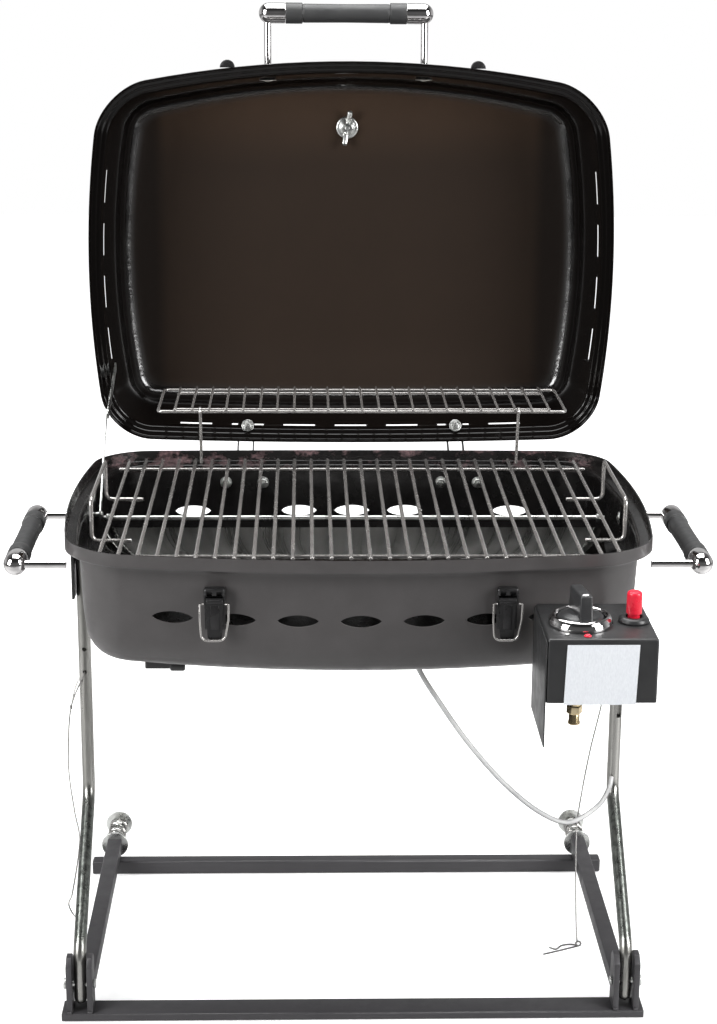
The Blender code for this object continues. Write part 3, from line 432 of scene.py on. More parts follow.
def soft(profile, radius=0.0006, steps=3, share=0.4):
    """Round the corners of a flat profile; radius is one number, or one for each corner."""
    closed = profile[0] == profile[-1]
    pts = [Vector(p) for p in profile]
    if closed:
        pts = pts[-2:-1] + pts[:-1] + pts[:1]
    radii = radius if isinstance(radius, list) else [radius] * len(pts)
    out = []
    for before, here, after, r in zip(pts, pts[1:], pts[2:], radii):
        reach = min(r, (before - here).length * share, (after - here).length * share)
        out += [tuple(p) for p in arc(before, here, after, reach, steps)]
    return out + out[:1] if closed else [profile[0]] + out + [profile[-1]]


def smooth_path(points, steps=10):
    """Catmull-Rom curve through the points."""
    p = [Vector(q) for q in points]
    p = [p[0] * 2 - p[1]] + p + [p[-1] * 2 - p[-2]]
    out = []
    for a, b, c, d in zip(p, p[1:], p[2:], p[3:]):
        for t in (k / steps for k in range(steps)):
            out.append(0.5 * (2 * b + (c - a) * t + (2 * a - 5 * b + 4 * c - d) * t * t
                              + (3 * b - a - 3 * c + d) * t ** 3))
    return out + [p[-2]]


def band(low, high):
    """Faces between two rings of vertex indices; a ring may be one point, repeated."""
    faces = []
    for k in range(len(low)):
        j = (k + 1) % len(low)
        quad = [low[k], low[j], high[j], high[k]]
        faces.append(tuple(v for n, v in enumerate(quad) if v not in quad[:n]))
    return [face for face in faces if len(face) > 2]


def loft(rings, loop=False, ends=True, finishes=None):
    """Closed surface through rings of points; finishes has one material index for each band."""
    sides = max(len(ring) for ring in rings)
    verts, index, faces, mats = [], [], [], []
    for ring in rings:
        start = len(verts)
        verts += ring
        index.append([start + k % len(ring) for k in range(sides)])
    for i, (low, high) in enumerate(zip(index, index[1:] + index[:1] * loop)):
        made = band(low, high)
        faces += made
        mats += [finishes[i] if finishes else 0] * len(made)
    if ends:
        faces += [tuple(index[0][::-1]), tuple(index[-1])]
        mats += [0, 0]
    mesh = bpy.data.meshes.new("loft")
    mesh.from_pydata([tuple(v) for v in verts], [], faces)
    mesh.polygons.foreach_set("material_index", mats)
    bm = bmesh.new()
    bm.from_mesh(mesh)
    bmesh.ops.remove_doubles(bm, verts=bm.verts, dist=1e-7)
    bmesh.ops.recalc_face_normals(bm, faces=bm.faces)
    return taken(bm)


def sweep(path, radius, sides=12, cap=0.35, closed=False):
    """Round bar along a path; cap is how far the rounding of its ends reaches, in radii."""
    pts = [Vector(p) for p in path]
    radii = [radius] * len(pts)
    if cap and not closed:
        turns = [radians(30 * k) for k in range(3)]
        first = (pts[1] - pts[0]).normalized() * radius * cap
        last = (pts[-2] - pts[-1]).normalized() * radius * cap
        head = [pts[0] + first * (1 - cos(a)) for a in turns]
        tail = [pts[-1] + last * (1 - cos(a)) for a in turns[::-1]]
        ends = [radius * (1 - cap + cap * sin(a)) for a in turns]
        radii = ends + radii + ends[::-1]
        pts = head + [pts[0] + first] + pts[1:-1] + [pts[-1] + last] + tail
    rings = []
    tangent = (pts[1] - pts[0]).normalized()
    side = tangent.orthogonal().normalized()
    for i, (here, r) in enumerate(zip(pts, radii)):
        ahead = pts[(i + 1) % len(pts)] if closed or i < len(pts) - 1 else here
        behind = pts[i - 1] if closed or i > 0 else here
        new = (ahead - behind).normalized()
        side = tangent.rotation_difference(new) @ side
        tangent = new
        other = tangent.cross(side)
        angles = [2 * pi * k / sides for k in range(sides)]
        rings.append([here + (side * cos(a) + other * sin(a)) * r for a in angles])
    return loft(rings, closed, not closed)


def straight(a, b, radius, sides=16, cap=0.25):
    return sweep([a, b], radius, sides, cap)


def lathe(profile, place=Matrix.Identity(4), steps=48):
    """Solid of revolution about local Z. A closed profile makes a ring; an open one ends on the axis."""
    ring = profile[0] == profile[-1]
    rows = []
    for r, h in profile[:-1] if ring else profile:
        angles = [2 * pi * k / steps for k in range(steps if r > 1e-9 else 1)]
        rows.append([place @ Vector((r * cos(a), r * sin(a), h)) for a in angles])
    return loft(rows, ring, False)


def turned(profile, radius, place, steps=48):
    """A lathe profile with its corners softened."""
    return lathe(soft(profile, radius), place, steps)


def plate(outline, thickness, origin, u, v, edge=0.0003):
    """Flat sheet with softened edges; outline in the plane of u and v through origin."""
    bm = bmesh.new()
    origin, u, v = Vector(origin), Vector(u), Vector(v)
    w = u.cross(v).normalized() * thickness
    face = bm.faces.new([bm.verts.new(origin + u * a + v * b - w / 2) for a, b in outline])
    made = bmesh.ops.extrude_face_region(bm, geom=[face])
    bmesh.ops.translate(bm, vec=w, verts=[g for g in made["geom"] if isinstance(g, bmesh.types.BMVert)])
    bmesh.ops.recalc_face_normals(bm, faces=bm.faces)
    if edge:
        sharp = [e for e in bm.edges if e.calc_face_angle(0) > radians(50)]
        bmesh.ops.bevel(bm, geom=sharp, offset=edge, segments=2, affect="EDGES", profile=0.5)
    return taken(bm)


def block(low, high, edge=0.0006, segments=3, choose=lambda edge: True):
    """Box with the chosen edges rounded."""
    bm = bmesh.new()
    low, high = Vector(low), Vector(high)
    place = shift((low + high) / 2) @ Matrix.Diagonal((*(high - low), 1))
    bmesh.ops.create_cube(bm, size=1.0, matrix=place)
    if edge:
        chosen = [e for e in bm.edges if choose(e)]
        bmesh.ops.bevel(bm, geom=chosen, offset=edge, segments=segments, affect="EDGES", profile=0.5)
    return taken(bm)


def facing(origin, normal):
    """Placement whose local Z points along normal."""
    n = Vector(normal).normalized()
    x = (X if abs(n.z) > 0.95 else Z).cross(n).normalized()
    return shift(origin) @ Matrix((x, n.cross(x), n)).transposed().to_4x4()


def pan_screw(at, normal, r=0.004, washer=0.0065, tall=0.0022):
    """Cross-headed pan screw on a washer."""
    place = facing(at, normal)
    dome = [(0, tall), (r * 0.55, tall * 0.97), (r * 0.9, tall * 0.62), (r, 0.0009), (r, 0.0006),
            (0, 0.0006)]
    w, reach = r * 0.16, r * 0.55
    cross = [block((-a, -b, tall * 0.55), (a, b, tall * 2), 0) for a, b in ((w, reach), (reach, w))]
    head = boolean(turned(dome, 0.0003, place, 28), [moved(slit, place) for slit in cross])
    if not washer:
        return head
    disc = turned([(0, 0.0006), (washer, 0.0006), (washer, 0.00005), (0, 0.00005)], 0.0002, place, 32)
    return boolean(head, [moved(disc, shift(Vector(normal).normalized() * 0.0001))], "UNION")


def hex_nut(at, normal, across, tall, stud):
    place, corner = facing(at, normal), across * 0.577
    nut = turned([(0, tall), (across * 0.48, tall), (corner, tall * 0.8), (corner, 0.0002), (0, 0.0002)],
                 0.0002, place, 6)
    end = turned([(0, tall + 0.0022), (stud * 0.9, tall + 0.0022), (stud, tall + 0.0016), (stud, 0.0008),
                  (0, 0.0008)], 0.0002, place, 20)
    return boolean(nut, [end], "UNION")


def refine(name, mat, width=0.0006, segments=2, sharp=SHARP):
    """A CAD node that keeps its shape: finer edges and its own finish."""
    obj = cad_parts[name]
    for slot in obj.material_slots:
        slot.material = M[mat]
    weld = obj.modifiers.new("weld", "WELD")
    weld.merge_threshold = 1e-5
    if width:
        bevel = obj.modifiers.new("bevel", "BEVEL")
        bevel.width = width
        bevel.segments = segments
        bevel.limit_method = "ANGLE"
        bevel.angle_limit = radians(40)
        bevel.harden_normals = True
    obj.data.shade_smooth()
    obj.data.set_sharp_from_angle(angle=sharp)


# ---- sheet shells

def outline(inset, z, grow=0.0, corner=14, run=18):
    """One ring of the firebox and lid outline."""
    a, b = HALF_W + grow - inset, HALF_D + grow - inset
    r = max(CORNER - inset, 0.012)
    ring = []
    corners = ((a - r, b - r, 0), (r - a, b - r, 90), (r - a, r - b, 180), (a - r, r - b, 270))
    for (cx, cy, start), (nx, ny, turn) in zip(corners, corners[1:] + corners[:1]):
        for k in range(corner + 1):
            t = radians(start + 90 * k / corner)
            ring.append((cx + r * cos(t), cy + r * sin(t)))
        t = radians(turn)
        last, following = ring[-1], (nx + r * cos(t), ny + r * sin(t))
        for f in (k / run for k in range(1, run)):
            ring.append((last[0] + (following[0] - last[0]) * f, last[1] + (following[1] - last[1]) * f))
    out = []
    for x, y in ring:
        bow = BOW_FRONT if y < 0 else BOW_REAR
        out.append(Vector((x + copysign(BOW_SIDE * (1 - (y / b) ** 2) * abs(x / a), x),
                           BOX_Y + y + copysign(bow * (1 - (x / a) ** 2) * abs(y / b), y), z)))
    return out


def wall_y(x, inset, front):
    """The front or rear wall's place at a distance from the middle."""
    a, b = HALF_W - inset, HALF_D - inset
    bow = (BOW_FRONT if front else BOW_REAR) * (1 - (x / a) ** 2)
    return BOX_Y - b - bow if front else BOX_Y + b + bow


def wall_x(y, inset):
    """Outer half width of the wall at a depth."""
    a, b = HALF_W - inset, HALF_D - inset
    return a + BOW_SIDE * (1 - ((y - BOX_Y) / b) ** 2)


def shell(outer, inner, finishes, grow=0.0):
    """Thin pan from two profiles of (inset, z), rim to crown; its inside gets the second finish."""
    rows = [outline(inset, z, grow) for inset, z in outer[::-1] + inner]

    def toward_centre(ring):
        centre = sum(ring, Vector()) / len(ring)
        return [[centre + (p - centre) * share for p in ring] for share in (0.66, 0.33)] + [[centre]]

    rings = toward_centre(rows[0])[::-1] + rows + toward_centre(rows[-1])
    outside = 3 + len(outer) - 1
    mesh = loft(rings, False, False, [0] * outside + [1] * (len(rings) - 1 - outside))
    for key in finishes:
        mesh.materials.append(M[key])
    return mesh


def lens_tool(x, y0, y1, z, power=0.65):
    """Cutter for a lens-shaped vent."""
    pts = [(VENT_HALF * (1 - 2 * k / 14), VENT_H * sin(pi * k / 14) ** power) for k in range(15)]
    pts += [(-u, -v) for u, v in pts[1:-1]]
    return plate(pts, y1 - y0, (x, (y0 + y1) / 2, z), X, Z, 0)


def make_firebox():
    z, s, step = RIM_Z, SHEET, RIM_Z - BAND_H
    radii = [0.0014, 0.0016, 0.003, 0.02, 0.008, 0.008]
    outer = [(0.0002, z), (0.0, step), (STEP_IN, step - 0.0018), (0.0115, z - 0.017), (0.014, 0.45),
             (0.0165, 0.433), (0.024, 0.4205), (0.037, FLOOR_Z)]
    inner = [(s, z), (s, step + 0.0012), (STEP_IN + s, step - 0.0006), (0.0115 + s, z - 0.0166),
             (0.014 + s, 0.45), (0.0178, 0.4336), (0.025, 0.4218), (0.0375, FLOOR_Z + s)]
    mesh = shell(soft(outer, radii, 4, 0.49), soft(inner, [0.0012, 0.0014] + radii[2:], 4, 0.49),
                 ("enamel", "lining"))
    vents = [lens_tool(k * VENT_PITCH, -0.2, -0.125, VENT_Z) for k in range(-3, 4)]
    vents += [lens_tool(k * VENT_PITCH, 0.165, 0.215, VENT_Z - 0.0015, 0.55) for k in (-3, -1, 0, 1, 3)]
    piece("firebox_pan", boolean(mesh, [merge(*vents)]), None, "firebox")


OPEN_LID = (shift((0, HINGE_Y, HINGE_Z)) @ Matrix.Rotation(radians(-90), 4, "X")
            @ shift((0, -HINGE_Y, -HINGE_Z)))


def lid_piece(name, mesh, mat, node=None, like=None):
    """A piece drawn in the closed lid's frame, swung open."""
    mesh.transform(OPEN_LID)
    return piece(name, mesh, mat, node, "lid", like)


def slot_cutter(points, out, slope):
    """Cutter for a slot through the lid wall; its faces slant, as a thick sheet would hide the light."""
    reach = 0.0028
    corners = ((-1, SLOT_LOW), (1, SLOT_LOW), (1, SLOT_HIGH), (-1, SLOT_HIGH))
    return loft([[Vector(p) + out * side * reach + Z * (z + side * reach * slope) for side, z in corners]
                 for p in points])


def make_lid():
    z, s, d = LID_Z, SHEET, LID_DEPTH
    radii = [0.002, 0.0012, 0.0008, 0.0016, 0.003, 0.012, 0.014, 0.014]
    outer = [(0.0, z), (0.0, z + 0.0085), (0.005, z + 0.0098), (0.0062, z + 0.0112), (STEP_IN, z + 0.012),
             (0.0115, z + 0.015), (0.0205, z + 0.064), (0.0225, z + 0.085), (0.0285, z + 0.097),
             (0.044, z + d)]
    inner = [(s, z), (s, z + 0.0078), (0.0058, z + 0.009), (0.007, z + 0.0104), (STEP_IN + s, z + 0.0111),
             (0.0115 + s, z + 0.0148), (0.0205 + s, z + 0.0636), (0.0236, z + 0.0842), (0.0292, z + 0.0959),
             (0.0443, z + d - s)]
    mesh = shell(soft(outer, radii, 4, 0.49), soft(inner, radii, 4, 0.49), ("lid_out", "lid_in"), LID_GROW)
    slots, wall = [], 0.0136 - LID_GROW
    steps = [SLOT_HALF * t for t in (-1, -0.5, 0, 0.5, 1)]
    for side, slope in ((-1, 9.6), (1, 6.7)):
        for k in range(4):
            ys = [SLOT_Y0 + k * VENT_PITCH + e for e in steps]
            slots.append(slot_cutter([(side * wall_x(y, wall), y, z) for y in ys], X * side, slope))
    for k in range(-3, 4):
        xs = [k * VENT_PITCH + e for e in steps]
        slots.append(slot_cutter([(x, wall_y(x, wall, False), z) for x in xs], Y, 4.2))
    lid_piece("lid_pan", boolean(mesh, [merge(*slots)]), None, "lid_shell")


# ---- handles

def make_handle(name, centre, along, outward, standoff, add):
    """Chromed bar with domed ends on two posts, and its ribbed sleeve; add makes a piece of a mesh."""
    centre, along, outward = Vector(centre), Vector(along), Vector(outward)
    place = facing(centre, along)
    half, r, core = 0.0872, 0.0101, 0.006
    cap = half - 0.0265
    dome = [(r * sin(radians(a)), half - r + r * cos(radians(a))) for a in range(0, 91, 9)]
    upper = dome + [(r, cap + 0.0014), (r * 0.97, cap + 0.0004), (r * 0.97, cap), (core, cap)]
    bar = lathe(upper + [(x, -h) for x, h in upper[::-1]], place)
    posts = []
    for s in (-1, 1):
        post = centre + along * (s * POST_OFF)
        posts.append(straight(post - outward * standoff, post - outward * 0.0035, 0.0036, 28, 0))
    add(name + "_bar", boolean(bar, posts, "UNION"), "chrome", name + "_frame")
    end, low, high = cap - 0.0003, r - 0.0008, r + 0.0002
    ribs = [(core + 0.0003, end), (high, end), (high, end - 0.0163), (low - 0.0002, end - 0.0168),
            (low - 0.0004, end - 0.0176), (low, end - 0.0184)]
    sleeve = ribs + [(low - 0.0003, 0.0)] + [(x, -h) for x, h in ribs[::-1]] + ribs[:1]
    add(name + "_sleeve", turned(sleeve, 0.0004, place), "grip", name + "_grip")


def make_handles():
    for side, name in SIDES:
        make_handle(name + "_handle", (side * 0.3, -0.0355, 0.501), Y, X * side, 0.0445, piece)
        screws = []
        for y in (-0.0355 - POST_OFF, -0.0355 + POST_OFF):
            x = side * (wall_x(y, 0.012) - 0.003)
            screws.append(pan_screw((x, y, 0.498), -X * side, 0.0036, 0.0062))
        piece(name + "_handle_screws", merge(*screws), "zinc_small",
              like=name + "_handle_frame")
    z = LID_Z + LID_POST_Z
    front = BOX_Y - HALF_D - LID_GROW - BOW_FRONT + 0.014
    make_handle("lid_handle", (LID_HANDLE_X, front - 0.059, z), X, -Y, 0.056, lid_piece)
    screws = []
    for x in (LID_HANDLE_X - POST_OFF, LID_HANDLE_X + POST_OFF):
        y = wall_y(x, 0.0148 - LID_GROW, True) + 0.0016
        screws.append(pan_screw((x, y, z), Y, 0.004, 0.0085))
    # These screws take the half-metal copy of the plating, a painted highlight.
    lid_piece("lid_handle_screws", merge(*screws), "screw", like="lid_handle_frame")


# ---- wire work

def make_grate():
    bars, rods = [], []
    for k in range(GRATE_BARS):
        x = (k - (GRATE_BARS - 1) / 2) * GRATE_PITCH
        rear = GRATE_Y1 - (0.006 if k in (0, GRATE_BARS - 1) else 0.0)
        jitter = random.uniform(-0.0006, 0.0006)
        ends = (x, GRATE_Y0 + jitter, GRATE_Z), (x, rear + jitter * 0.5 - 0.0004, GRATE_Z)
        bars.append(straight(*ends, GRATE_WIRE, 10, 0.4))
    low = GRATE_Z - 2 * GRATE_WIRE + 0.0005
    for half, y in ((0.226, -0.13), (0.234, 0.17)):
        rods.append(straight((-half, y, low), (half, y, low), GRATE_WIRE, 10, 0.4))
    for side, _ in SIDES:
        x, foot, front, rear, top = side * 0.236, side * 0.201, -0.081, 0.057, 0.5506
        path = [(foot, front, low), (x, front, low), (x, front, top), (x, rear, top), (x, rear, low),
                (foot, rear, low)]
        rods.append(sweep(rounded(path, 0.007, 7), 0.00175, 10, 0.4))
    mesh = boolean(merge(*bars), [merge(*rods)], "UNION")
    piece("cooking_grid", mesh, "wire", "cooking_grate")


def make_rack():
    left, right, low = RACK_X - RACK_HALF, RACK_X + RACK_HALF, RACK_LOW
    bars = []
    for k in range(RACK_BARS):
        x = left + (k + 1) * 2 * RACK_HALF / (RACK_BARS + 1)
        bars.append(straight((x, RACK_Y0 - 0.0018, RACK_Z), (x, RACK_Y1 + 0.0018, RACK_Z), 0.00125, 10,
                             0.4))
    loop = [(RACK_X, RACK_Y0, low), (right, RACK_Y0, low), (right, RACK_Y1, low), (left, RACK_Y1, low),
            (left, RACK_Y0, low), (RACK_X, RACK_Y0, low)]
    rods = [sweep(rounded(loop, 0.006, 6)[:-1], RACK_WIRE, 12, closed=True)]
    for y in (RACK_Y0 + 0.009, RACK_Y1 - 0.016):
        rods.append(straight((left + 0.016, y, low), (right - 0.016, y, low), RACK_WIRE, 12, 0.4))
    piece("warming_grid", boolean(merge(*bars), [merge(*rods)], "UNION"), "wire", "warming_rack", "rack")


def make_rack_legs():
    hook = 2 * RACK_WIRE + 0.0003
    angles = [radians(a) for a in range(-30, 181, 15)]
    for side, name in SIDES:
        x = RACK_LEG_X[side]
        path = [(x, RACK_Y0 - hook * cos(a), RACK_LOW + hook * sin(a)) for a in angles]
        wire = sweep(path + [(x, RACK_Y0 + 0.012, 0.5195)], RACK_WIRE, 14, 0.5)
        piece(name + "_rack_leg_wire", wire, "wire", name + "_rack_leg", "rack_legs")


def make_springs():
    r, wire, steps = 0.0092, 0.0013, 28
    low, end = wire + 0.0003, SPRING_LEN
    for side, name in SIDES:
        x, z, face = side * SIDE_BAR_X, SIDE_BAR_Z, SIDE_BAR_Y1 + 0.0024
        path = []
        for k in range(SPRING_TURNS * steps + 1):
            share, a = k / (SPRING_TURNS * steps), 2 * pi * k / steps
            path.append((x + r * cos(a), face + low + (end - 2 * low) * share, z + r * sin(a)))
        coil = piece(name + "_spring_coil", sweep(path, wire, 10, 0.3), "spring",
                     name + "_plunger_spring", "stand_base")
        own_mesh(coil)
        bolt = [(0, end + 0.0052), (0.0052, end + 0.005), (0.0062, end + 0.004), (0.012, end + 0.0036),
                (0.015, end + 0.0022), (0.015, end + 0.0002), (0.004, end), (0.004, -0.016),
                (0, -0.016)]
        piece(name + "_plunger_turned", turned(bolt, 0.0005, facing((x, face, z), Y)), "zinc_small",
              name + "_plunger", name + "_plunger_bolt")


# ---- stand

def make_stand():
    for name in ("front_rail", "rear_bar"):
        refine(name, "frame", 0.0007, 3)
    half = SIDE_BAR_HALF
    for side, name in SIDES:
        x, y, z = side * SIDE_BAR_X, SIDE_BAR_Y1, SIDE_BAR_Z
        bar = block((x - half, 0.0152, z - half), (x + half, y, z + half), 0.0013, 4)
        disc = turned(mm((0, 3), (15, 3), (15, 0), (0, 0)), 0.0006, facing((x, y + 0.0001, z), Y))
        bore = straight((x, y - 0.03, z), (x, y + 0.01, z), 0.0044, 28, 0)
        piece(name + "_side_tube", boolean(bar, [bore]), "frame", name + "_side_bar", "stand_base")
        piece(name + "_end_washer", boolean(disc, [bore]), "zinc_small", body="stand_base",
              like=name + "_side_bar")
        for part in ("outer", "inner"):
            refine(f"{name}_clevis_{part}", "frame", 0.0007, 3)
        refine(name + "_leg_pin", "zinc_small", 0.0005, 2)
        beads = []
        for offset in (-1, 1):
            x = side * LEG_X + offset * (0.0073 + 0.00275) - 0.0024
            for y in (-0.0128, 0.0128):
                path = [(x + 0.0008 * k, y + random.uniform(-0.0003, 0.0003), 0.0089) for k in range(7)]
                beads.append(sweep(path, 0.0014, 10, 0.9))
        piece(name + "_clevis_welds", merge(*beads), "frame", body="stand_base",
              like=name + "_clevis_outer")
        make_leg(side, name)
        refine(name + "_leg_bracket", "black", 0.0006, 2)


def make_leg(side, name):
    x, (y, z) = side * LEG_X, LEG_TOP
    bends = rounded([(x, 0, PIVOT_Z), (x, *ANKLE), (x, *KNEE), (x, y, z)], 0.03, 14)
    cuts = [straight((x - 0.02, *at), (x + 0.02, *at), 0.0033, 24, 0) for at in ((0, PIVOT_Z), LEG_TOP)]
    if side < 0:
        cuts += [straight((x, y - 0.02, hole), (x, y, hole), 0.0022, 20, 0) for hole in (0.339, 0.315)]
    else:
        cuts.append(block((x + 0.0002, y - 0.02, 0.264), (x + 0.0046, y, 0.283), 0))
    leg = sweep([(x, 0, 0.0135)] + bends + [(x, y, z + 0.009)], LEG_R, 40, 0.85)
    piece(name + "_leg_tube", boolean(leg, [merge(*cuts)]), "leg", name + "_leg", "stand_legs")


# ---- controls

def make_control_box():
    x0, x1, y0, y1, z0, z1, t = 0.149, 0.24, -0.2575, -0.165, 0.426, BOX_TOP, SHEET

    def fold(edge):
        return all(v.co.z > z1 - 1e-5 for v in edge.verts) or all(v.co.y < y0 + 1e-5 for v in edge.verts)

    mesh = block((x0, y0, z0 - 0.02), (x1, y1 + 0.02, z1), 0.0022, 5, fold)
    tools = [block((x0 + t, y0 + t, z0 - 0.03), (x1 - t, y1 + 0.03, z1 - t), 0.0012, 3),
             block((x0 - 1, y0 - 1, z0 - 1), (x1 + 1, y1 + 1, z0), 0),
             block((x0 - 1, y1, z0 - 1), (x1 + 1, y1 + 1, z1 + 1), 0)]
    tools += [straight((*at, z1 - 0.01), (*at, z1 + 0.01), 0.006, 28, 0) for at in (KNOB, BUTTON)]
    for tool in tools:
        mesh = boolean(mesh, [tool])
    piece("control_cover", mesh, "box", "control_box")
    refine("wind_shield", "box", 0.0004, 2)
    label = plate(mm((163.4, 424.6), (222.6, 424.6), (224.2, 476.3), (165, 476.3)), 0.0004,
                  (0, y0 - 0.0004, 0), X, Z, 0.0001)
    piece("blank_label_card", label, "paper", like="control_box", smooth=False)
    mark = turned(mm((0, 2.2), (2.2, 1.6), (3.4, 0.2), (0, 0.2)), 0.0006,
                  shift((0.1822, -0.25, z1)), 28)
    piece("dial_mark_jewel", mark, "red", like="igniter_button")
    screw = pan_screw((0.166, -0.2455, z1), Z, 0.002, 0, 0.0012)
    piece("dial_screw", screw, "zinc_small", like="knob_bezel")


def make_knob():
    up = shift((*KNOB, BOX_TOP + 0.0003))
    bezel = mm((20.3, 6), (21.2, 7.4), (22.6, 8.2), (24.4, 7.4), (26, 5.2), (27, 2.2), (27, 0), (8, 0),
               (8, 1.2), (20.3, 1.2), (20.3, 6))
    piece("dial_ring", turned(bezel, 0.0004, up, 72), "chrome", "knob_bezel")
    skirt = mm((0, 10.5), (11.5, 10.2), (17, 8.4), (19, 6.6), (19.8, 5), (19.8, 1.6), (0, 1.6))
    lean = up @ Matrix.Rotation(radians(8), 4, "Z")
    base, top = 0.004, 0.0285
    grip = block((-0.006, -0.0185, base), (0.006, 0.0185, top), 0.0018, 4)
    for v in grip.vertices:
        share = (v.co.z - base) / (top - base)
        v.co.x *= 1.0 - 0.14 * share
        v.co.y *= 1.0 - 0.08 * share
    stem = straight((*KNOB, BOX_TOP - 0.012), (*KNOB, BOX_TOP + 0.004), 0.004, 20, 0)
    knob = boolean(turned(skirt, 0.0008, up, 64), [moved(grip, lean), stem], "UNION")
    piece("dial_grip", knob, "knob", "control_knob", "control_knob_body")
    spot = turned(mm((0, 0.5), (2.2, 0.4), (2.6, 0), (2, -0.8), (0, -0.8)), 0.0002,
                  lean @ shift((0, -0.013, top)) @ Matrix.Diagonal((1.1, 0.75, 1, 1)), 28)
    piece("dial_pointer_spot", spot, "white", body="control_knob_body", like="control_knob")


def make_igniter():
    at = shift((*BUTTON, BOX_TOP + 0.0003))
    ring = mm((7.2, 4.6), (10.4, 4.6), (12.2, 3.4), (13, 1.4), (13, 0), (7.2, 0), (7.2, 4.6))
    piece("igniter_ring", turned(ring, 0.0005, at, 56), "knob", "igniter_collar")
    cap = mm((0, 26.2), (4.6, 26.2), (6, 25), (6.3, 23.6), (6.6, 7.4), (6.4, 7), (5, 7), (5, -6), (0, -6))
    piece("igniter_cap", turned(cap, 0.0006, at), "red", "igniter_button", "igniter_button_body")


def make_gas_inlet():
    place = shift((KNOB[0] - 0.003, KNOB[1] - 0.004, BOX_TOP - 0.013 - 0.022 - 0.0133))
    hexagon = mm((0, -22.1), (6, -22.1), (6.6, -22.8), (6.6, -28.7), (6, -29.4), (0, -29.4))
    stem = mm((0, 13), (5, 13), (5, -23), (0, -23))
    barrel = mm((0, -28), (4.6, -28), (4.6, -29.6), (4.3, -30), (4.6, -30.6), (4.6, -35.8),
                (5.2, -37.2), (5.2, -38.4), (4.8, -38.8), (2.8, -38.8), (2.8, -32), (0, -32))
    mesh = boolean(turned(hexagon, 0.0002, place, 6),
                   [turned(stem, 0.0003, place, 32), lathe(barrel, place, 40)], "UNION")
    piece("inlet_nipple", mesh, "brass", "gas_inlet")


# ---- latches, hinges, stay

def make_latches():
    for side, name in SIDES:
        x = side * CATCH_X
        wall = wall_y(x, 0.0118, True) - 0.0012
        w, top, low = 0.0093, 0.497, 0.485

        def bar(x_low, x_high, y_low, y_high, z_low, z_high, edge, segments):
            return block((x + x_low, y_low, z_low), (x + x_high, y_high, z_high), edge, segments)

        body = bar(-w, w, wall - 0.0093, wall, low + 0.0045, top, 0.0024, 4)
        pockets = [bar(s * 0.0042 - 0.0026, s * 0.0042 + 0.0026, wall - 0.02, wall - 0.005,
                       low + 0.0049, top - 0.0024, 0.001, 2) for s in (-1, 1)]
        ears = [bar(a, b, wall - 0.008, wall - 0.0004, low - 0.003, low + 0.006, 0.0003, 2)
                for a, b in ((-w + 0.0002, -w + 0.0016), (w - 0.0016, w - 0.0002))]
        back = bar(-w + 0.0004, w - 0.0004, wall - 0.0014, wall - 0.0002, 0.458, low + 0.007, 0.0003, 2)
        base = boolean(boolean(body, [merge(*pockets)]), ears + [back], "UNION")
        piece(name + "_latch_body", base, "latch", name + "_latch_base")
        y, inner, narrow = wall - 0.0075, w - 0.0019, 0.0062
        right = [(narrow - 0.0022, 0.4502), (narrow, 0.453), (inner, low - 0.002), (inner, low + 0.003)]
        left = [(-a, b) for a, b in right[::-1]]
        lever = plate(left + right, 0.0018, (x, y, 0), X, Z, 0.0005)
        extras = [straight((x - inner + 0.0003, y, low), (x + inner - 0.0003, y, low), 0.0022, 24, 0.2),
                  bar(-narrow + 0.0012, narrow - 0.0012, y - 0.0022, y + 0.0003, 0.4505, 0.4519, 0.0004, 2),
                  bar(-0.0036, 0.0036, y - 0.0016, y - 0.0002, 0.46, low - 0.0035, 0.0006, 3)]
        piece(name + "_latch_flap", boolean(lever, extras, "UNION"), "latch", name + "_latch_lever",
              name + "_latch_lever_body")
        y, eye, half = y - 0.004, 0.4838, 0.0122
        path = [(-half, eye), (-half - 0.0002, 0.47), (-half + 0.001, 0.4513), (half - 0.0038, 0.4513),
                (half - 0.0004, 0.47), (half, eye)]
        hooks = [(x + s * (half - 0.003), y + 0.0008, eye) for s in (-1, 1)]
        wire = [hooks[0], *rounded([(x + a, y, b) for a, b in path], 0.0065, 7), hooks[1]]
        piece(name + "_latch_wire", sweep(wire, 0.001, 14, 0.3), "wire", name + "_latch_bail",
              name + "_latch_bail_body")
        refine(name + "_latch_catch", "latch", 0.0005, 2)


def make_hinges():
    nuts, lid_nuts = [], []
    axis = Vector((0, -0.5, -0.87))
    for side, name in SIDES:
        refine(name + "_hinge_lower", "black", 0.0004, 2)
        refine(name + "_hinge_upper", "black", 0.0003, 2)
        for s in (-1, 1):
            x = side * 0.109 + s * 0.01875
            at = Vector((x, wall_y(x, 0.0122, False), HINGE_NUT_Z))
            nuts += [turned(mm((0, 1), (6, 1), (6, 0), (0, 0)), 0.0003,
                            facing(at - Y * 0.0014, -Y), 32),
                     hex_nut(at - Y * 0.0023, -Y, 0.009, 0.0036, 0.0023),
                     pan_screw(at + Y * 0.0018, Y, 0.0038, 0)]
        x = side * 0.1084 + 0.0009
        at = Vector((x, wall_y(x, 0.014 - LID_GROW, False), LID_Z + 0.0125))
        lid_nuts += [turned(mm((0, 1), (6.4, 1), (6.4, 0), (0, 0)), 0.0003, facing(at, axis), 36),
                     hex_nut(at + axis * 0.0012, axis, 0.0084, 0.004, 0.0024),
                     straight(at - axis * 0.0005, at - axis * 0.008, 0.0024, 16, 0)]
    piece("hinge_nuts", merge(*nuts), "zinc_small", like="left_leg_pin")
    lid_piece("lid_hinge_nuts", merge(*lid_nuts), "zinc_small", like="thermometer_wing_nut")


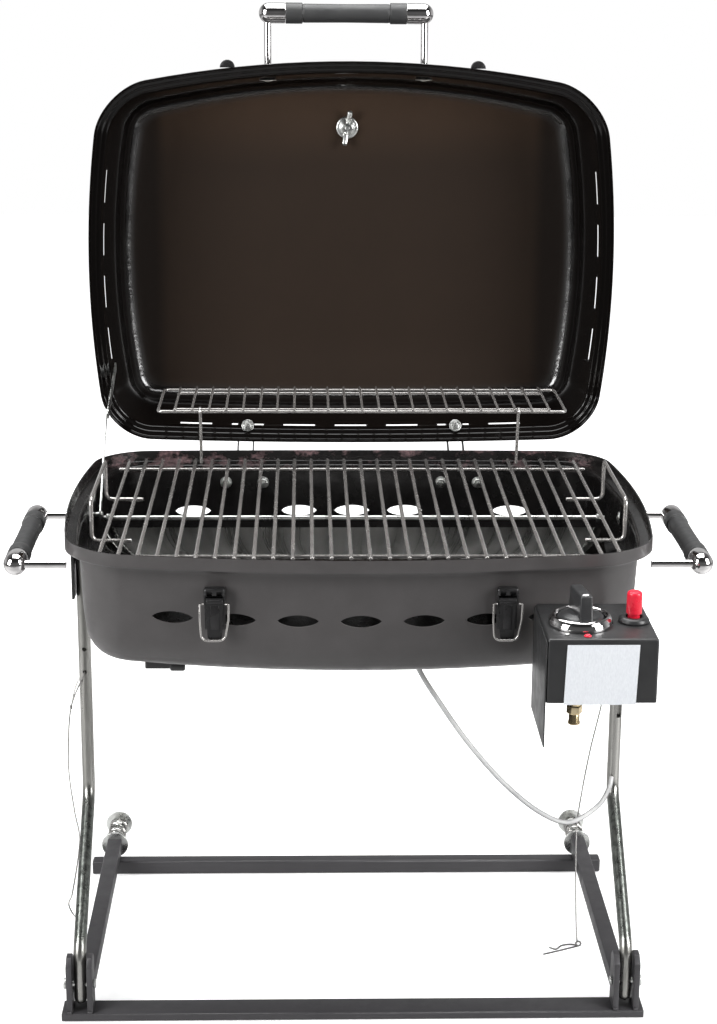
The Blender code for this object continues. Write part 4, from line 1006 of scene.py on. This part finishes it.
def oblong(start, end, r, step):
    """Outline with round ends about two points on the u axis."""
    pts = []
    for centre, turn in ((start, 90), (end, -90)):
        angles = [radians(turn + a) for a in range(0, 181, step)]
        pts += [(centre + r * cos(a), r * sin(a)) for a in angles]
    return pts


def stay_link(name, node, body, start, end, x, slots):
    a, b = Vector(start), Vector(end)
    along = (b - a).normalized()
    u, v = (0, along.x, along.y), (0, -along.y, along.x)
    mesh = plate(oblong(0, (b - a).length, 0.0052, 12), 0.0012, (x, *a), u, v, 0.0002)
    if slots:
        mesh = boolean(mesh, [merge(*[plate(oblong(*s, 0.0016, 20), 0.01, (x, *a), u, v,
                                            0) for s in slots])])
    piece(name, mesh, "zinc_small", node, body)


def make_stay():
    top, mid, foot = (0.26, 0.598), (0.17, 0.57), (0.085, 0.49)
    slots = mm((16, 52), (66, 98))
    stay_link("stay_slotted_link", "lid_stay_lower", "stay_lower", foot, mid, -0.2452, slots)
    stay_link("stay_plain_link", "lid_stay_upper", "stay_upper", top, mid, -0.2434, [])
    bolt = straight((0.0006 - wall_x(foot[0], 0.0131), *foot), (-0.2462, *foot), 0.0022, 20, 0.1)
    head = pan_screw((-0.2445, *foot), X, 0.0034, 0)
    piece("stay_pivot_bolt", merge(bolt, head), "zinc_small", like="support_rod")


def make_thermometer():
    x, y, top = *DIAL, LID_Z + LID_DEPTH
    place = shift((x, y, top + 0.0003))
    case = mm((0, 4.2), (19, 4.2), (19.6, 7.4), (21.2, 8), (22.6, 6.8), (23, 0), (0, 0))
    lid_piece("thermometer_case", turned(case, 0.0005, place, 64), "chrome", "thermometer")
    face = turned(mm((0, 4.8), (18.8, 4.8), (18.8, 4.3), (0, 4.3)), 0.0001, place, 64)
    lid_piece("thermometer_face", face, "white", like="thermometer")
    marks = []
    for k in range(19):
        major, a = k % 3 == 0, radians(-135 + 15 * k)
        reach, half = (0.0135, 0.0004) if major else (0.0152, 0.0002)
        out, side = Vector((sin(a), cos(a))), Vector((cos(a), -sin(a))) * half
        corners = [out * reach - side, out * reach + side, out * 0.0172 + side, out * 0.0172 - side]
        marks.append(plate(corners, 0.0002, (x, y, top + 0.0052), X, Y, 0))
    lid_piece("thermometer_marks", merge(*marks), "knob", like="thermometer")
    needle = plate(mm((-0.8, -4), (0.8, -4), (0.2, 15), (-0.2, 15)), 0.0003,
                   (0, 0, top + 0.0057), X, Y, 0)
    turn = shift((x, y, 0)) @ Matrix.Rotation(radians(118), 4, "Z")
    hub = turned(mm((0, 1), (1.6, 0.8), (1.8, 0), (0, 0)), 0.0002,
                 shift((x, y, top + 0.0053)), 24)
    lid_piece("thermometer_needle", merge(moved(needle, turn), hub), "red", like="thermometer")
    place = shift((x, y, top - 0.0015))
    washer = mm((3.4, 0), (11.5, 0), (11.5, -1.1), (10.4, -1.8), (8.2, -1.8), (7.6, -2.6), (6.2, -3.4),
                (5, -7.5), (3.4, -7.5), (3.4, 0))
    nut = lathe(soft(washer, 0.0003, 2), place)
    wing = mm((4, -1.5), (11, -3), (16.5, -6.5), (18.2, -10.5), (16.6, -12), (11, -9.8), (4, -7))
    a = radians(100)
    wings = [plate(pts, 0.0056, (x, y, top - 0.0015), (cos(a), sin(a), 0), Z, 0.0022)
             for pts in ([(-u, v) for u, v in wing[::-1]], wing)]
    lid_piece("thermometer_nut", boolean(nut, wings, "UNION"), "zinc_small", "thermometer_wing_nut")
    stem = mm((0, 2), (2.8, 2), (2.8, -12), (2, -13), (0, -13))
    lid_piece("thermometer_stem", turned(stem, 0.0004, place, 28), "zinc_small",
              like="thermometer_wing_nut")


# ---- cords, clips and small fittings

def make_cords():
    tether = smooth_path(mm((45, -50, 412.5), (56.7, -50, 380.3), (74.1, -60, 353.7),
                            (103.7, -50, 307.3), (140.6, -20, 254.3), (180.1, 20, 206.5),
                            (214.1, 50, 181.3), (246.1, 80, 184.1), (262, 109, 190.7),
                            (266.5, 120, 200)), 14)
    obj = piece("tether_tube", sweep(tether, 0.0024, 16, 0.3), "tube", body=None, like="igniter_electrode")
    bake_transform(obj)
    left = smooth_path(mm((-268.8, 122, 314.9), (-283.6, 120, 278.1), (-286.7, 110, 234.6),
                          (-285.3, 100, 209.5), (-278.9, 80, 182.3), (-272.4, 60, 157.8),
                          (-279.6, 50, 109.2), (-283.4, 45, 97.5), (-277.2, 40, 86.8),
                          (-271.5, 34, 90)), 12)
    second = smooth_path(mm((-268.8, 135, 314.9), (-279, 130, 298), (-283.6, 120.2, 278.1)), 8)
    knot = turned(mm((0, 2.6), (1.1, 2.2), (1.3, 0), (1.1, -2.2), (0, -2.6)), 0.0004,
                  shift((-0.2836, 0.12, 0.2781)), 16)
    cords = merge(sweep(left, 0.0007, 8, 0), sweep(second, 0.0006, 8, 0), knot)
    piece("left_lanyard", cords, "cord", body="stand_legs", like="left_leg")
    right = smooth_path(mm((261, 121.5, 362), (256, 112, 325), (250, 100, 288.3), (239, 90, 242.8),
                           (230.3, 80, 198.3), (225.3, 70, 164.6), (221.5, 35, 119.2), (220.2, 6, 80),
                           (220.6, 0, 76.2)), 12)
    piece("right_lanyard", sweep(right, 0.0007, 8, 0), "cord", body="stand_legs", like="right_leg")
    angles = [radians(a) for a in range(10, 331, 40)]
    clip = mm((186.7, 62.6), (204, 67))
    clip += [(0.2212 + 0.0024 * sin(a), 0.0742 - 0.0024 * cos(a)) for a in angles]
    clip += mm((213.9, 73.3), (204.7, 72.1), (199.5, 68.2), (192.5, 70.2))
    wire = sweep(smooth_path([(x, 0.0, z) for x, z in clip], 6), 0.0008, 10, 0.3)
    piece("lanyard_spring_clip", wire, "cord", body="stand_legs", like="right_leg_pin")


def make_small_fittings():
    """Rim bumper on the left wall, and the thumb screw of the regulator bracket under the pan."""
    bumper = turned(mm((0, 15), (4, 14.8), (6.6, 12), (7, 0), (0, 0)), 0.0014,
                    facing((-wall_x(0, 0.011) - 0.0005, 0, 0.499), -X), 32)
    piece("left_rim_bumper", bumper, "knob", like="left_latch_base")
    z = FLOOR_Z - 0.0105
    screw = straight((-0.168, -0.1, z), (-0.1545, -0.1, z), 0.0056, 20, 0.3)
    piece("bracket_thumb_screw", screw, "black", like="bottom_bracket")


def make_inside():
    refine("heat_diffuser", "mirror", 0.0, sharp=radians(15))
    refine("burner", "steel", 0.0)
    refine("support_rod", "zinc_small", 0.0003)
    refine("igniter_electrode", "ceramic", 0)
    refine("gas_valve", "brass", 0.0004)
    refine("bottom_bracket", "black", 0.0007)


# ---- studio

def make_world():
    """White behind the grill and to the camera; mirrored, it is dark in front and overhead."""
    world = bpy.data.worlds.new("studio")
    bpy.context.scene.world = world
    s = Shade(world)
    way = s.add("TexCoord").outputs["Generated"]
    room = s.span(s.axis(1, way), -0.15, 0.3, 0.12, 0.55)
    height = s.span(s.axis(2, way), 0.25, 0.6, 1.0, 0.25, "LINEAR")
    seen = s.add("LightPath").outputs["Is Camera Ray"]
    light = s.mix(seen, s.times(room, height), (1.0, 1.0, 1.0))
    s.feed(s.tree.nodes["Background"], {"Color": light, "Strength": 1.0})


def make_floor():
    bm = bmesh.new()
    bmesh.ops.create_grid(bm, x_segments=8, y_segments=8, size=6.0)
    floor = piece("studio_floor", taken(bm), "floor", body=None)
    floor.location.z = -0.0006


def make_lights():
    for name, at, target, size_x, size_y, power in (
            ("left_softbox", (-1.7, -1.1, 1.3), (0, 0.1, 0.5), 0.9, 1.6, 60),
            ("right_softbox", (1.7, -1.0, 1.3), (0, 0.1, 0.5), 0.9, 1.6, 60),
            ("top_softbox", (0.0, 0.35, 2.2), (0, 0.1, 0.4), 1.6, 1.7, 56)):
        data = bpy.data.lights.new(name, "AREA")
        data.shape = "RECTANGLE"
        data.size, data.size_y, data.energy = size_x, size_y, power
        lamp = placed(name, data)
        lamp.location = at
        lamp.rotation_euler = (Vector(target) - Vector(at)).to_track_quat("-Z", "Y").to_euler()
    bpy.context.scene.view_settings.view_transform = "Standard"


def make_camera():
    yaw, pitch, roll = radians(1.57), radians(15.7), radians(0.4)
    forward = Vector((sin(yaw) * cos(pitch), cos(yaw) * cos(pitch), -sin(pitch)))
    right = Vector((cos(yaw), -sin(yaw), 0))
    up = right.cross(forward)
    side = right * cos(roll) + up * sin(roll)
    head = up * cos(roll) - right * sin(roll)
    data = bpy.data.cameras.new("camera")
    data.sensor_fit = "HORIZONTAL"
    data.sensor_width = 36.0
    data.lens = 102.98
    cam = placed("camera", data)
    turn = Matrix((side, head, -forward)).transposed().to_4x4()
    cam.matrix_world = shift((-0.0484, -1.82449, 1.02906)) @ turn
    bpy.context.scene.camera = cam


for make in (make_firebox, make_lid, make_handles, make_grate, make_rack, make_rack_legs,
             make_springs, make_stand, make_control_box, make_knob, make_igniter, make_gas_inlet,
             make_latches, make_hinges, make_stay, make_thermometer, make_cords,
             make_small_fittings, make_inside, make_floor, make_world, make_lights, make_camera):
    make()
